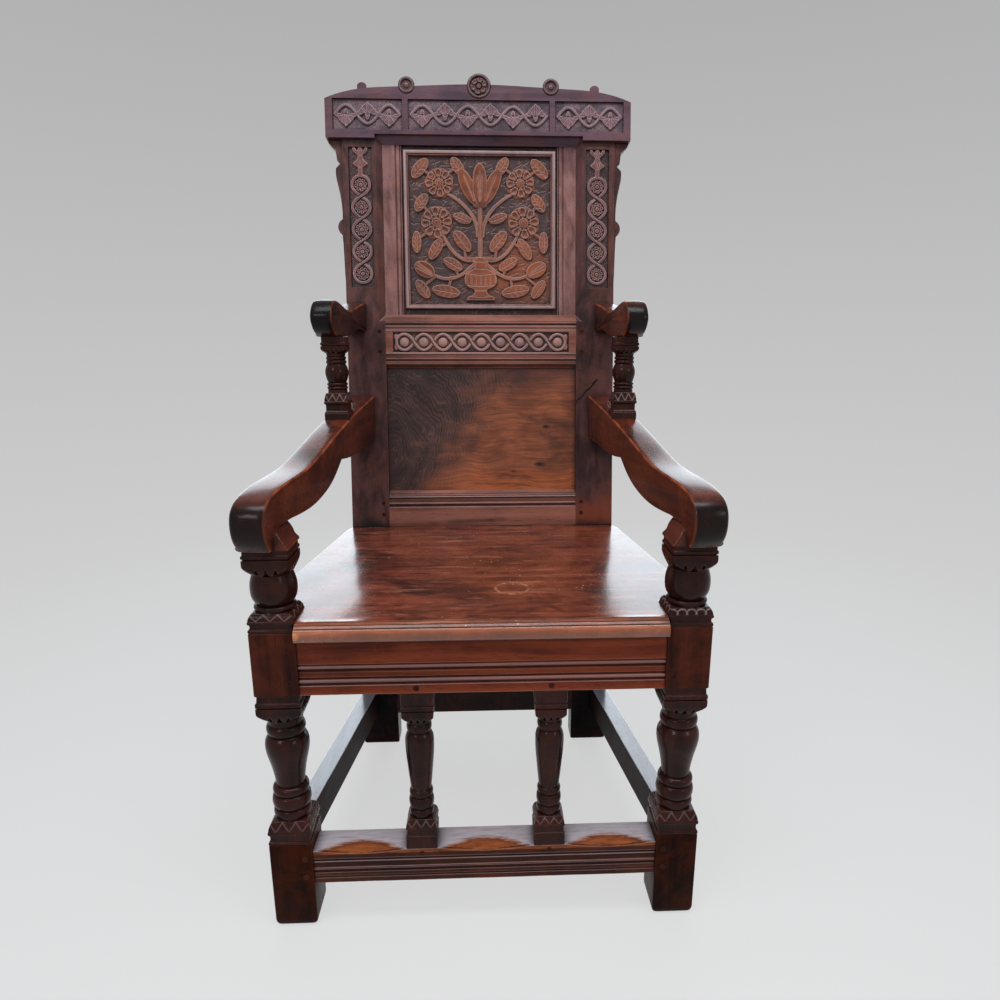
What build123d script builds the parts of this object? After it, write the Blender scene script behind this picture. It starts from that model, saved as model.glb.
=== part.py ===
from build123d import *

import os
from math import cos, pi, radians, sin, tan

os.makedirs("parts", exist_ok=True)

# Joined oak wainscot chair: square-and-turned front posts, raked panelled back,
# sawn arms, and a second tier of short arms on small turned columns.
# Millimetres, +Z up, the sitter faces -Y, origin on the floor under the middle.

# ---- overall sizes -------------------------------------------------------------
width_over_posts = 610.0      # across the outer faces of the front posts
post = 60.0                   # square of the front posts
seat_top = 472.0              # height of the seat
seat_thick = 25.0
depth_to_back = 478.0         # front faces of posts to front faces of rear legs
rake = radians(8.8)           # backward lean of the back above the seat
width_over_stiles = 504.5
stile = 71.5                  # width of a rear stile
stile_thick = 44.0
back_height = 717.0           # seat to shoulder of stile, along the rake
fit = 0.15                    # play between tenon and mortise, each side
end_play = 0.5                # play at the end of a tenon or tongue
rail_recess = 3.0             # rails stand this far behind the post faces

# ---- front post heights --------------------------------------------------------
foot_top = 137.0
base_band = 5.0               # bead, hollow, bead and carved block over the foot
base_hollow = 10.5
base_bead = 6.0
base_block = 13.5
rail_bottom = 367.3
rail_top = seat_top - seat_thick
cap_block = 24.0              # scalloped capital under the seat block
cap_bead = 8.0
cap_neck = 10.3
seat_block_top = 458.0
ball_foot = 484.0
ball_low = 492.0
ball_high = 533.5
arm_cap_block = 23.0
arm_cap_bead = 4.5
head_neck = 6.0
head_top = 594.0              # shoulder that carries the arm

# ---- stretchers ----------------------------------------------------------------
stretcher_low = 70.3
stretcher_high = 124.0
front_stretcher_thick = 44.0
front_rail_thick = 44.0
side_thick = 30.0             # side rails and side stretchers
rear_rail_thick = 30.0

# ---- joints --------------------------------------------------------------------
tenon_thick = 11.0
tenon_long = 36.0
tenon_shoulder = 6.0
peg_dia = 8.0
peg_fit = 0.1
peg_proud = 0.6

# ---- front spindles ------------------------------------------------------------
spindle = 44.0
spindle_share = 0.3714        # of the half opening, middle to spindle
spindle_tenon_dia = 20.0
spindle_tenon_long = 24.0

# ---- seat ----------------------------------------------------------------------
nosing = 10.6                 # reach of the seat in front of the posts
seat_overhang = 8.0           # past the outer faces of the side rails
seat_play = 0.2               # round posts and stiles
seat_over_rear_rail = 20.0

# ---- back frame, heights measured up the rake from the seat ----------------------
low_rail_top = 69.7
mid_rail_low = 302.7
mid_rail_high = 403.4
crest_below_shoulder = 6.0    # lower edge of the crest below the shoulders of the stiles
crest_end_tall = 67.5         # shoulder to top of the crest at its ends
crest_mid_tall = 95.0         # the same in the middle
crest_overhang = 28.25        # crest past the outer faces of the stiles
crest_proud = 8.0
rail_thick = 36.0
panel_sink = 8.5              # lower panel behind the frame face
panel_thick = 10.0
groove_deep = 8.0
muntin_wide = 23.6
muntin_step = 12.0            # moulded inner edge of the muntin
muntin_thick = 24.0
carved_sink = 14.0            # ground of the carved panel behind the frame face
carved_thick = 12.0
relief = 4.5
moulding_wide = 10.0
moulding_high = 8.0
moulding_margin = 10.4
field_deep = 4.0              # sunk carved grounds in stiles, rails and crest

# ---- arms ----------------------------------------------------------------------
arm_thick = 46.0
arm_in_from_posts = 42.3      # arm's inner face inside the outer faces of the posts
arm_in_from_stiles = 48.25    # the same inside the outer faces of the stiles
arm_reach = 22.5              # scroll in front of the post faces
wing_thick = 36.5
wing_in_from_column = 6.3     # upper arm's inner face inside the middle of the column
wing_in_from_stiles = 36.45
wing_length = 153.0           # upper arm in front of the rear legs
column = 41.0
column_gap = 109.0            # middle of the small column in front of the rear legs
column_low = 705.0            # top of the column's plinth
column_top = 829.0
column_tenon = 14.0
arm_tenon = 22.0

# ---- derived -------------------------------------------------------------------
crest_low = back_height - crest_below_shoulder
crest_end_top = back_height + crest_end_tall
crest_mid_top = back_height + crest_mid_tall
crest_back_y = depth_to_back + crest_mid_top * sin(rake) + stile_thick * cos(rake)
face_y = arm_reach - (arm_reach + crest_back_y) / 2.0   # front faces of the posts
back_y = face_y + depth_to_back
post_x = (width_over_posts - post) / 2.0
post_y = face_y + post / 2.0
post_in = width_over_posts / 2.0 - post
spindle_x = spindle_share * post_in
stile_out = width_over_stiles / 2.0
stile_in = stile_out - stile
rail_y = face_y + rail_recess
panel_side = stile_in - muntin_wide - muntin_step       # sight edge of the carved panel
back = Plane(origin=(0, back_y, seat_top), x_dir=(1, 0, 0), z_dir=(0, -cos(rake), sin(rake)))
arm_inner_front = width_over_posts / 2.0 - arm_in_from_posts
arm_inner_back = stile_out - arm_in_from_stiles
main_splay = (arm_inner_front - arm_inner_back) / (depth_to_back + 37.0)
column_y = depth_to_back - column_gap
column_x = arm_inner_front - main_splay * column_y + arm_thick / 2.0
wing_front = depth_to_back - wing_length
wing_inner_front = column_x - wing_in_from_column
wing_inner_back = stile_out - wing_in_from_stiles
wing_splay = (wing_inner_front - wing_inner_back) / (depth_to_back + 64.0 - wing_front)

base_top = foot_top + base_band + base_hollow + base_bead + base_block
cap_low = rail_bottom - cap_neck - cap_bead - cap_block
arm_base_low = seat_block_top + base_band
arm_cap_top = ball_high + arm_cap_block
head_low = arm_cap_top + 2.0 + arm_cap_bead


def box(x0, x1, y0, y1, z0, z1, mode=Mode.ADD):
    """Upright box between two corners."""
    with Locations(((x0 + x1) / 2, (y0 + y1) / 2, (z0 + z1) / 2)):
        Box(x1 - x0, y1 - y0, z1 - z0, mode=mode)


def slab(x0, x1, s0, s1, d0, d1, mode=Mode.ADD):
    """Box in the raked back: s up the rake from the seat, d behind the frame face."""
    with Locations(back.location * Pos((x0 + x1) / 2, (s0 + s1) / 2, -(d0 + d1) / 2)):
        Box(x1 - x0, s1 - s0, d1 - d0, mode=mode)


def square(x, y, z0, z1, half, mode=Mode.ADD):
    box(x - half, x + half, y - half, y + half, z0, z1, mode)


def prism(points, plane, amount, mode=Mode.ADD):
    """Straight-sided outline pushed out by amount."""
    with BuildSketch(plane) as outline:
        with BuildLine():
            Polyline(*points, close=True)
        make_face()
    extrude(to_extrude=outline.sketch, amount=amount, mode=mode)


def turn(x, y, outline, mode=Mode.ADD):
    """Lathe-turned form from (radius, height, swell) points, swell outward."""
    with BuildSketch(Plane(origin=(x, y, 0), x_dir=(1, 0, 0), z_dir=(0, -1, 0))) as half:
        with BuildLine():
            r0, z0, _ = outline[0]
            Line((0, z0), (r0, z0))
            for r1, z1, swell in outline[1:]:
                if swell == 0:
                    Line((r0, z0), (r1, z1))
                else:
                    run = ((r1 - r0) ** 2 + (z1 - z0) ** 2) ** 0.5
                    mid_r = (r0 + r1) / 2 + swell * (z1 - z0) / run
                    mid_z = (z0 + z1) / 2 - swell * (r1 - r0) / run
                    ThreePointArc((r0, z0), (mid_r, mid_z), (r1, z1))
                r0, z0 = r1, z1
            Line((r0, z0), (0, z0))
            Line((0, z0), (0, outline[0][1]))
        make_face()
    revolve(profiles=half.sketch, axis=Axis((x, y, 0), (0, 0, 1)), mode=mode)


def rod(point, direction, dia, length, mode=Mode.ADD):
    """Round bar of a length that starts at point."""
    with Locations(Plane(origin=point, z_dir=direction).location):
        Cylinder(dia / 2, length, align=(Align.CENTER, Align.CENTER, Align.MIN), mode=mode)


def side_x(y):
    """Centre line of the splayed side rails at a depth y."""
    front_x = width_over_posts / 2 - rail_recess - side_thick / 2
    rear_x = stile_out - rail_recess - side_thick / 2
    share = (y - face_y - post) / (depth_to_back - post)
    return front_x + (rear_x - front_x) * share


def side_bar(thick, y0, y1, z0, z1, mode=Mode.ADD, sign=-1):
    """Bar along the splayed side line."""
    corners = [(sign * (side_x(y0) - thick / 2), y0), (sign * (side_x(y0) + thick / 2), y0),
               (sign * (side_x(y1) + thick / 2), y1), (sign * (side_x(y1) - thick / 2), y1)]
    prism(corners, Plane.XY.offset(z0), z1 - z0, mode)


# ---- mortise places --------------------------------------------------------------
front_tenon_y = rail_y + 20.0
peg_inset = 11.0
rail_peg_z = (387.0, 427.0)
stretcher_peg_z = (83.5, 119.0 - tenon_shoulder)
side_rail_tenon = (rail_bottom + 14.0, rail_top - 14.0)
side_stretcher_tenon = (stretcher_low + tenon_shoulder, stretcher_high - tenon_shoulder)
side_tenon_long = 15.0        # short, to stop clear of the front joints
peg_deep = post - 14.0


def front_tenon(sign, z0, z1, slack=0.0, mode=Mode.ADD):
    """Tenon of a front rail or stretcher inside the post."""
    length = tenon_long + (end_play if slack else 0)
    x0, x1 = sorted((sign * post_in, sign * (post_in + length)))
    box(x0, x1, front_tenon_y - tenon_thick / 2 - slack, front_tenon_y + tenon_thick / 2 + slack,
        z0 - slack, z1 + slack, mode)


def front_peg(sign, z, dia, mode=Mode.ADD, proud=0.0):
    rod((sign * (post_in + peg_inset), face_y - proud, z), (0, 1, 0), dia, peg_deep + proud, mode)


def arm_front_peg(sign, dia, mode=Mode.ADD):
    """Peg from the outer face of an arm through the tenon of the front post."""
    behind = 36.0
    outer_x = arm_inner_front - main_splay * behind + arm_thick * (1 + main_splay ** 2) ** 0.5
    rod((sign * (outer_x + peg_proud), face_y + behind, head_top + arm_tenon / 2), (-sign, 0, 0), dia,
        40, mode)


def post_head(x0, x1, mode=Mode.ADD):
    """Head of a front post under the arm, its back moulded like a bracket."""
    low = head_low + head_neck
    profile = [(face_y + 2, low), (face_y + 9, head_top), (face_y + post + 8, head_top),
               (face_y + post + 9, head_top - 8), (face_y + post + 3, head_top - 19),
               (face_y + post + 4.5, head_top - 24), (face_y + post, low)]
    prism(profile, Plane.YZ.offset(x0), x1 - x0, mode)


def post_tenon(slack=0.0, mode=Mode.ADD):
    """Tenon on the head of a left front post, up into the arm."""
    box(-post_x - 14 - slack, -post_x + 4 + slack, face_y + 22 - slack, face_y + 50 + slack,
        head_top - (1 if slack else 0), head_top + arm_tenon + (end_play if slack else 0), mode)


# ---- front posts -----------------------------------------------------------------
with BuildPart() as front_post_left:
    half = post / 2
    square(-post_x, post_y, 0, foot_top, half)
    chamfer(front_post_left.edges().filter_by_position(Axis.Z, 0, 0), length=4.0)
    low = foot_top
    for tall, inset in ((base_band, 0.0), (base_hollow, 1.8), (base_bead, 0.0)):
        square(-post_x, post_y, low, low + tall, half - inset)
        low += tall
    square(-post_x, post_y, low, base_top, half - 0.5)
    top_edges = front_post_left.edges().filter_by_position(Axis.Z, base_top, base_top)
    fillet(top_edges, radius=6.0)
    turn(-post_x, post_y, [(26.5, base_top - 1, 0), (26.5, base_top, 0), (26.0, base_top + 14, 2.2),
                           (25.6, base_top + 14.5, 0), (26.0, base_top + 35, 3.2),
                           (24.4, base_top + 35.5, 0), (23.6, base_top + 49, 2.6),
                           (21.2, base_top + 49.5, 0), (29.4, base_top + 97, 3.0),
                           (25.0, base_top + 128, 2.6), (24.0, base_top + 129, 0),
                           (24.0, base_top + 145, 3.0), (25.5, cap_low, 0),
                           (25.5, cap_low + 1, 0)])
    square(-post_x, post_y, cap_low, cap_low + cap_block, half)
    cap_edges = front_post_left.edges().filter_by(GeomType.LINE)
    fillet(cap_edges.filter_by_position(Axis.Z, cap_low, cap_low), radius=9.0)
    square(-post_x, post_y, cap_low + cap_block, cap_low + cap_block + 2.5, half - 2.0)
    square(-post_x, post_y, cap_low + cap_block + 2.5, cap_low + cap_block + cap_bead, half)
    square(-post_x, post_y, rail_bottom - cap_neck, rail_bottom, half - 1.8)
    square(-post_x, post_y, rail_bottom, seat_block_top, half)
    square(-post_x, post_y, seat_block_top, arm_base_low, half)
    square(-post_x, post_y, arm_base_low, arm_base_low + 6.5, half - 1.8)
    square(-post_x, post_y, arm_base_low + 6.5, arm_base_low + 11.5, half)
    square(-post_x, post_y, arm_base_low + 11.5, ball_foot, half - 0.5)
    ball_edges = front_post_left.edges().filter_by_position(Axis.Z, ball_foot, ball_foot)
    fillet(ball_edges, radius=6.0)
    turn(-post_x, post_y, [(27.0, ball_foot - 1, 0), (27.0, ball_foot, 0), (26.2, ball_low - 0.5, 2.0),
                           (23.0, ball_low, 0), (22.0, ball_high, 8.0), (22.0, ball_high + 1, 0)])
    square(-post_x, post_y, ball_high, arm_cap_top, half)
    cap_edges = front_post_left.edges().filter_by(GeomType.LINE)
    fillet(cap_edges.filter_by_position(Axis.Z, ball_high, ball_high), radius=13.0)
    square(-post_x, post_y, arm_cap_top, arm_cap_top + 2.0, half - 2.0)
    square(-post_x, post_y, arm_cap_top + 2.0, arm_cap_top + 2.0 + arm_cap_bead, half)
    square(-post_x, post_y, head_low, head_low + head_neck, half - 1.5)
    post_head(-post_x - half + 1.5, -post_in)
    wedge = [(-post_in, head_low + head_neck), (-post_in, head_top + 1), (-arm_inner_front, head_top + 1),
             (-arm_inner_front, head_top)]
    prism(wedge, Plane.XZ.offset(-face_y - post - 20), post + 30, mode=Mode.SUBTRACT)
    post_tenon()
    arm_front_peg(-1, peg_dia + 2 * peg_fit, Mode.SUBTRACT)
    # mortises
    front_tenon(-1, rail_bottom + tenon_shoulder, rail_top - tenon_shoulder, fit, Mode.SUBTRACT)
    front_tenon(-1, stretcher_low + tenon_shoulder, stretcher_high - tenon_shoulder, fit, Mode.SUBTRACT)
    for z0, z1 in (side_rail_tenon, side_stretcher_tenon):
        side_bar(tenon_thick + 2 * fit, face_y + post - side_tenon_long - end_play, face_y + post + 5,
                 z0 - fit, z1 + fit, Mode.SUBTRACT)
    for z in rail_peg_z + stretcher_peg_z:
        front_peg(-1, z, peg_dia + 2 * peg_fit, Mode.SUBTRACT)
front_post_left.part.label = "front_post_left"
export_step(front_post_left.part, "parts/front_post_left.step")

with BuildPart() as front_post_right:
    add(mirror(front_post_left.part, about=Plane.YZ))
front_post_right.part.label = "front_post_right"
export_step(front_post_right.part, "parts/front_post_right.step")


# ---- rear stiles -----------------------------------------------------------------
low_rail_tenon = (14.0, low_rail_top - 14.0)
mid_rail_tenon = (mid_rail_low + 14.0, mid_rail_high - 14.0)
back_tenon_d = 14.0           # front cheek of the back tenons behind the frame face
crest_tenon_long = 40.0
low_rail_pegs = (24.0, 46.0)
mid_rail_pegs = (mid_rail_low + 32.0, mid_rail_high - 32.0)
crest_peg_up = 16.0
back_peg_deep = 34.0
field_out = stile_out - 10.3  # sunk field for the carved interlace
field_in = stile_in + 17.7
field_low = mid_rail_high + 49.0
field_high = back_height - 13.1
rings = 5
ring_first = field_low + 24.5
ring_last = field_high - 67.2
chamfer_wide = 11.0           # frame arris round the upper opening
chamfer_tall = 13.0
chamfer_deep = 8.0
main_tenon = (178.0, 236.0)
wing_tenon = (382.0, 412.0)
arm_tenon_thick = 14.0
arm_tenon_long = 28.0
main_tenon_x = arm_inner_back + arm_thick / 2
wing_tenon_x = wing_inner_back + wing_thick / 2


def upper_opening(mode=Mode.SUBTRACT):
    """Mitred bevel round the upper opening of the back."""
    with BuildSketch(back) as wide:
        with Locations((0, (mid_rail_high + crest_low) / 2)):
            Rectangle(2 * (stile_in + chamfer_wide), crest_low - mid_rail_high + 2 * chamfer_tall)
    with BuildSketch(back.offset(-chamfer_deep)) as narrow:
        with Locations((0, (mid_rail_high + crest_low) / 2)):
            Rectangle(2 * stile_in, crest_low - mid_rail_high)
    loft(sections=[wide.sketch, narrow.sketch], mode=mode)


def back_tenon(sign, heights, slack=0.0, mode=Mode.ADD):
    """Tenon of a back rail inside the stile."""
    length = tenon_long + (end_play if slack else 0)
    x0, x1 = sorted((sign * stile_in, sign * (stile_in + length)))
    slab(x0, x1, heights[0] - slack, heights[1] + slack,
         back_tenon_d - slack, back_tenon_d + tenon_thick + slack, mode)


def rear_tenon(sign, z0, z1, slack=0.0, mode=Mode.ADD):
    """Tenon of the rear seat rail or rear stretcher inside the rear leg."""
    length = tenon_long + (end_play if slack else 0)
    x0, x1 = sorted((sign * stile_in, sign * (stile_in + length)))
    box(x0, x1, back_y + 10 - slack, back_y + 10 + tenon_thick + slack, z0 - slack, z1 + slack, mode)


def back_peg(sign, s, dia, mode=Mode.ADD, proud=0.0):
    start = back.from_local_coords((sign * (stile_in + peg_inset), s, proud))
    rod(start, tuple(-back.z_dir), dia, back_peg_deep + proud, mode)


def crest_peg(sign, dia, mode=Mode.ADD, proud=0.0):
    start = back.from_local_coords((sign * (stile_in + stile / 2), back_height + crest_peg_up,
                                    -stile_thick - proud))
    rod(start, tuple(back.z_dir), dia, back_peg_deep + proud, mode)


def arm_rear_tenon(x, heights, slack=0.0, mode=Mode.ADD):
    slab(x - arm_tenon_thick / 2 - slack, x + arm_tenon_thick / 2 + slack,
         heights[0] - slack, heights[1] + slack, 0 if slack == 0 else -1,
         arm_tenon_long + (end_play if slack else 0), mode)


def arm_rear_peg(sign, heights, dia, mode=Mode.ADD, proud=0.0):
    start = back.from_local_coords((sign * (stile_out + proud), sum(heights) / 2, -arm_tenon_long / 2))
    rod(start, (-sign, 0, 0), dia, stile - 12 + proud, mode)


stile_turn = stile_thick * tan(rake / 2)
with BuildPart() as rear_stile_left:
    lean_y = back_height * sin(rake)
    lean_z = back_height * cos(rake)
    side_view = [(back_y, 0), (back_y, seat_top), (back_y + lean_y, seat_top + lean_z),
                 (back_y + lean_y + stile_thick * cos(rake), seat_top + lean_z - stile_thick * sin(rake)),
                 (back_y + stile_thick, seat_top - stile_turn), (back_y + stile_thick, 0)]
    prism(side_view, Plane.YZ.offset(-stile_out), stile)
    chamfer(rear_stile_left.edges().filter_by_position(Axis.Z, 0, 0), length=4.0)
    upper_opening()
    slab(-stile_out + 14, -stile_in - 14, back_height, back_height + crest_tenon_long,
         back_tenon_d, back_tenon_d + tenon_thick)
    slab(-field_out, -field_in, field_low, field_high, -1, field_deep, Mode.SUBTRACT)
    slab(-stile_in - groove_deep, -stile_in + 1, low_rail_top - 10, mid_rail_low + 10,
         panel_sink - fit, panel_sink + panel_thick + fit, Mode.SUBTRACT)
    back_tenon(-1, low_rail_tenon, fit, Mode.SUBTRACT)
    back_tenon(-1, mid_rail_tenon, fit, Mode.SUBTRACT)
    rear_tenon(-1, rail_bottom + 8, rail_top - 8, fit, Mode.SUBTRACT)
    rear_tenon(-1, stretcher_low + 8, stretcher_high - 8, fit, Mode.SUBTRACT)
    for z0, z1 in (side_rail_tenon, side_stretcher_tenon):
        side_bar(tenon_thick + 2 * fit, back_y - 5, back_y + 24 + end_play, z0 - fit, z1 + fit,
                 Mode.SUBTRACT)
    arm_rear_tenon(-main_tenon_x, main_tenon, fit, Mode.SUBTRACT)
    arm_rear_tenon(-wing_tenon_x, wing_tenon, fit, Mode.SUBTRACT)
    for s in low_rail_pegs + mid_rail_pegs:
        back_peg(-1, s, peg_dia + 2 * peg_fit, Mode.SUBTRACT)
    crest_peg(-1, peg_dia + 2 * peg_fit, Mode.SUBTRACT)
    for heights in (main_tenon, wing_tenon):
        arm_rear_peg(-1, heights, peg_dia + 2 * peg_fit, Mode.SUBTRACT)
    # interlaced rings, rosettes and a double-cup finial standing in the sunk field
    ring_x = -(field_out + field_in) / 2
    with BuildSketch(back.offset(-field_deep)) as knots:
        for k in range(rings):
            with Locations((ring_x, ring_first + (ring_last - ring_first) * k / (rings - 1))):
                Circle(19.8)
                Circle(15.0, mode=Mode.SUBTRACT)
                Circle(11.5)
        with Locations((ring_x, field_high - 9.9)):
            Trapezoid(29, 15, 105)
        with Locations((ring_x, field_high - 28.9)):
            Trapezoid(27, 13, 105)
        with Locations((ring_x, field_high - 40.9)):
            Rectangle(8, 18)
    extrude(to_extrude=knots.sketch, amount=field_deep)
rear_stile_left.part.label = "rear_stile_left"
export_step(rear_stile_left.part, "parts/rear_stile_left.step")

with BuildPart() as rear_stile_right:
    add(mirror(rear_stile_left.part, about=Plane.YZ))
rear_stile_right.part.label = "rear_stile_right"
export_step(rear_stile_right.part, "parts/rear_stile_right.step")

# ---- front seat rail and stretcher -------------------------------------------------
spindle_y = rail_y + spindle / 2


def across(points, x0, x1, mode=Mode.ADD):
    """Moulded section in (depth, height) run across the chair."""
    prism(points, Plane.YZ.offset(x0), x1 - x0, mode)


with BuildPart() as front_seat_rail:
    y1 = rail_y + front_rail_thick
    section = [(0, 0), (0, 13), (1.5, 14.2), (1.5, 16.5), (0, 17.5), (0, 20.5), (2.5, 22.5),
               (2.5, 35.5), (0, 37.5), (0, 42), (1.5, 43.5), (1.5, 46)]
    front_line = [(rail_y + deep, rail_bottom + up) for deep, up in section]
    across(front_line + [(rail_y, rail_bottom + 47.5), (rail_y, rail_top), (y1, rail_top),
                         (y1, rail_bottom)], -post_in, post_in)
    for sign in (-1, 1):
        front_tenon(sign, rail_bottom + tenon_shoulder, rail_top - tenon_shoulder)
        for z in rail_peg_z:
            front_peg(sign, z, peg_dia + 2 * peg_fit, Mode.SUBTRACT)
        rod((sign * spindle_x, spindle_y, rail_bottom - 1), (0, 0, 1), spindle_tenon_dia + 2 * fit,
            spindle_tenon_long + end_play + 1, Mode.SUBTRACT)
        rod((sign * spindle_x, rail_y - 1, rail_bottom + 8), (0, 1, 0), peg_dia + 2 * peg_fit, 35,
            Mode.SUBTRACT)
front_seat_rail.part.label = "front_seat_rail"
export_step(front_seat_rail.part, "parts/front_seat_rail.step")

scoop_deep = 5.5
with BuildPart() as front_stretcher:
    y1 = rail_y + front_stretcher_thick
    section = [(0, 0), (0, 9), (1.5, 10.5), (1.5, 13), (0, 14.5), (0, 18), (2.5, 20.5), (2.5, 27),
               (0, 29), (0, 36), (1.5, 37.5), (1.5, 40), (0, 41.5)]
    front_line = [(rail_y + deep, stretcher_low + up) for deep, up in section]
    across(front_line + [(rail_y, stretcher_high), (y1, stretcher_high), (y1, stretcher_low)],
           -post_in, post_in)
    # long scooped chamfers on the upper front arris, one to each bay
    bays = ((-post_in + 2, -spindle_x - spindle / 2 - 3), (-spindle_x + spindle / 2 + 4,
            spindle_x - spindle / 2 - 4), (spindle_x + spindle / 2 + 3, post_in - 2))
    for x0, x1 in bays:
        radius = ((x1 - x0) ** 2 / 4 + scoop_deep ** 2) / (2 * scoop_deep)
        out = (radius - scoop_deep) * 0.5 ** 0.5
        centre = ((x0 + x1) / 2, rail_y - out, stretcher_high + out)
        with Locations(Plane(origin=centre, x_dir=(1, 0, 0), z_dir=(0, 1, 1)).location):
            Cylinder(radius, 90, mode=Mode.SUBTRACT)
    for sign in (-1, 1):
        front_tenon(sign, stretcher_low + tenon_shoulder, stretcher_high - tenon_shoulder)
        for z in stretcher_peg_z:
            front_peg(sign, z, peg_dia + 2 * peg_fit, Mode.SUBTRACT)
        rod((sign * spindle_x, spindle_y, stretcher_high + 1), (0, 0, -1),
            spindle_tenon_dia + 2 * fit, spindle_tenon_long + end_play + 1, Mode.SUBTRACT)
        rod((sign * spindle_x, rail_y - 1, stretcher_high - 8), (0, 1, 0), peg_dia + 2 * peg_fit, 35,
            Mode.SUBTRACT)
front_stretcher.part.label = "front_stretcher"
export_step(front_stretcher.part, "parts/front_stretcher.step")

# ---- front spindles ----------------------------------------------------------------
with BuildPart() as front_spindle_left:
    half = spindle / 2
    low = stretcher_high
    x = -spindle_x
    for tall, inset in ((15.5, 0.0), (4.5, 0.0), (10.0, 1.5), (3.0, 0.0), (11.0, 0.5)):
        square(x, spindle_y, low, low + tall, half - inset)
        low += tall
    fillet(front_spindle_left.edges().filter_by_position(Axis.Z, low, low), radius=5.0)
    top = rail_bottom
    turn(x, spindle_y, [(17.8, low - 1, 0), (17.8, low, 0), (17.2, low + 13, 1.8), (16.8, low + 13.4, 0),
                        (17.2, low + 31, 2.0), (16.4, low + 31.4, 0), (16.0, low + 43, 1.8),
                        (14.4, low + 43.5, 0), (19.6, low + 113, 1.6), (16.6, low + 132, 1.6),
                        (16.2, low + 132.5, 0), (16.4, low + 146, 2.0), (16.8, low + 146.5, 0),
                        (17.4, top - 27, 0.8), (17.4, top - 26, 0)])
    square(x, spindle_y, top - 27.5, top - 20.5, half)
    square(x, spindle_y, top - 20.5, top - 18.5, half - 1.5)
    square(x, spindle_y, top - 18.5, top, half)
    rod((x, spindle_y, top - 1), (0, 0, 1), spindle_tenon_dia, spindle_tenon_long + 1)
    rod((x, spindle_y, stretcher_high + 1), (0, 0, -1), spindle_tenon_dia, spindle_tenon_long + 1)
    rod((x, rail_y - 1, rail_bottom + 8), (0, 1, 0), peg_dia + 2 * peg_fit, 35, Mode.SUBTRACT)
    rod((x, rail_y - 1, stretcher_high - 8), (0, 1, 0), peg_dia + 2 * peg_fit, 35, Mode.SUBTRACT)
front_spindle_left.part.label = "front_spindle_left"
export_step(front_spindle_left.part, "parts/front_spindle_left.step")

with BuildPart() as front_spindle_right:
    add(mirror(front_spindle_left.part, about=Plane.YZ))
front_spindle_right.part.label = "front_spindle_right"
export_step(front_spindle_right.part, "parts/front_spindle_right.step")

# ---- side and rear rails and stretchers ----------------------------------------------
with BuildPart() as side_seat_rail_left:
    side_bar(side_thick, face_y + post, back_y, rail_bottom, rail_top)
    side_bar(tenon_thick, face_y + post - side_tenon_long, face_y + post, *side_rail_tenon)
    side_bar(tenon_thick, back_y, back_y + 24, *side_rail_tenon)
side_seat_rail_left.part.label = "side_seat_rail_left"
export_step(side_seat_rail_left.part, "parts/side_seat_rail_left.step")

with BuildPart() as side_seat_rail_right:
    add(mirror(side_seat_rail_left.part, about=Plane.YZ))
side_seat_rail_right.part.label = "side_seat_rail_right"
export_step(side_seat_rail_right.part, "parts/side_seat_rail_right.step")

with BuildPart() as side_stretcher_left:
    side_bar(side_thick, face_y + post, back_y, stretcher_low, stretcher_high)
    side_bar(tenon_thick, face_y + post - side_tenon_long, face_y + post, *side_stretcher_tenon)
    side_bar(tenon_thick, back_y, back_y + 24, *side_stretcher_tenon)
side_stretcher_left.part.label = "side_stretcher_left"
export_step(side_stretcher_left.part, "parts/side_stretcher_left.step")

with BuildPart() as side_stretcher_right:
    add(mirror(side_stretcher_left.part, about=Plane.YZ))
side_stretcher_right.part.label = "side_stretcher_right"
export_step(side_stretcher_right.part, "parts/side_stretcher_right.step")

with BuildPart() as rear_seat_rail:
    box(-stile_in, stile_in, back_y, back_y + rear_rail_thick, rail_bottom, rail_top)
    for sign in (-1, 1):
        rear_tenon(sign, rail_bottom + 8, rail_top - 8)
rear_seat_rail.part.label = "rear_seat_rail"
export_step(rear_seat_rail.part, "parts/rear_seat_rail.step")

with BuildPart() as rear_stretcher:
    box(-stile_in, stile_in, back_y, back_y + rear_rail_thick, stretcher_low, stretcher_high)
    for sign in (-1, 1):
        rear_tenon(sign, stretcher_low + 8, stretcher_high - 8)
rear_stretcher.part.label = "rear_stretcher"
export_step(rear_stretcher.part, "parts/rear_stretcher.step")

# ---- seat ----------------------------------------------------------------------------
with BuildPart() as seat_board:
    y_front = face_y - nosing
    y_post = face_y + post + seat_play
    y_stile = back_y - seat_play
    edge = side_thick / 2 + seat_overhang
    right_side = [(post_in - seat_play, y_front), (post_in - seat_play, y_post),
                  (side_x(y_post) + edge, y_post), (side_x(y_stile) + edge, y_stile),
                  (stile_in - seat_play, y_stile), (stile_in - seat_play, back_y + seat_over_rear_rail)]
    left_side = [(-x, y) for x, y in reversed(right_side)]
    prism(right_side + left_side, Plane.XY.offset(rail_top), seat_thick)
    nose_edges = seat_board.edges().filter_by_position(Axis.Y, y_front, y_front)
    fillet(nose_edges.filter_by_position(Axis.Z, seat_top, seat_top), radius=9.0)
    fillet(seat_board.edges().filter_by_position(Axis.Y, y_front, y_front)
           .filter_by_position(Axis.Z, rail_top, rail_top), radius=4.0)
    for behind in (1.5, 5.5, 9.5):
        box(-post_in - 1, post_in + 1, face_y + behind - 0.8, face_y + behind + 0.8,
            seat_top - 1.2, seat_top + 1, Mode.SUBTRACT)
seat_board.part.label = "seat_board"
export_step(seat_board.part, "parts/seat_board.step")


# ---- rails of the back -----------------------------------------------------------------
panel_tongue = groove_deep - end_play


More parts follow.
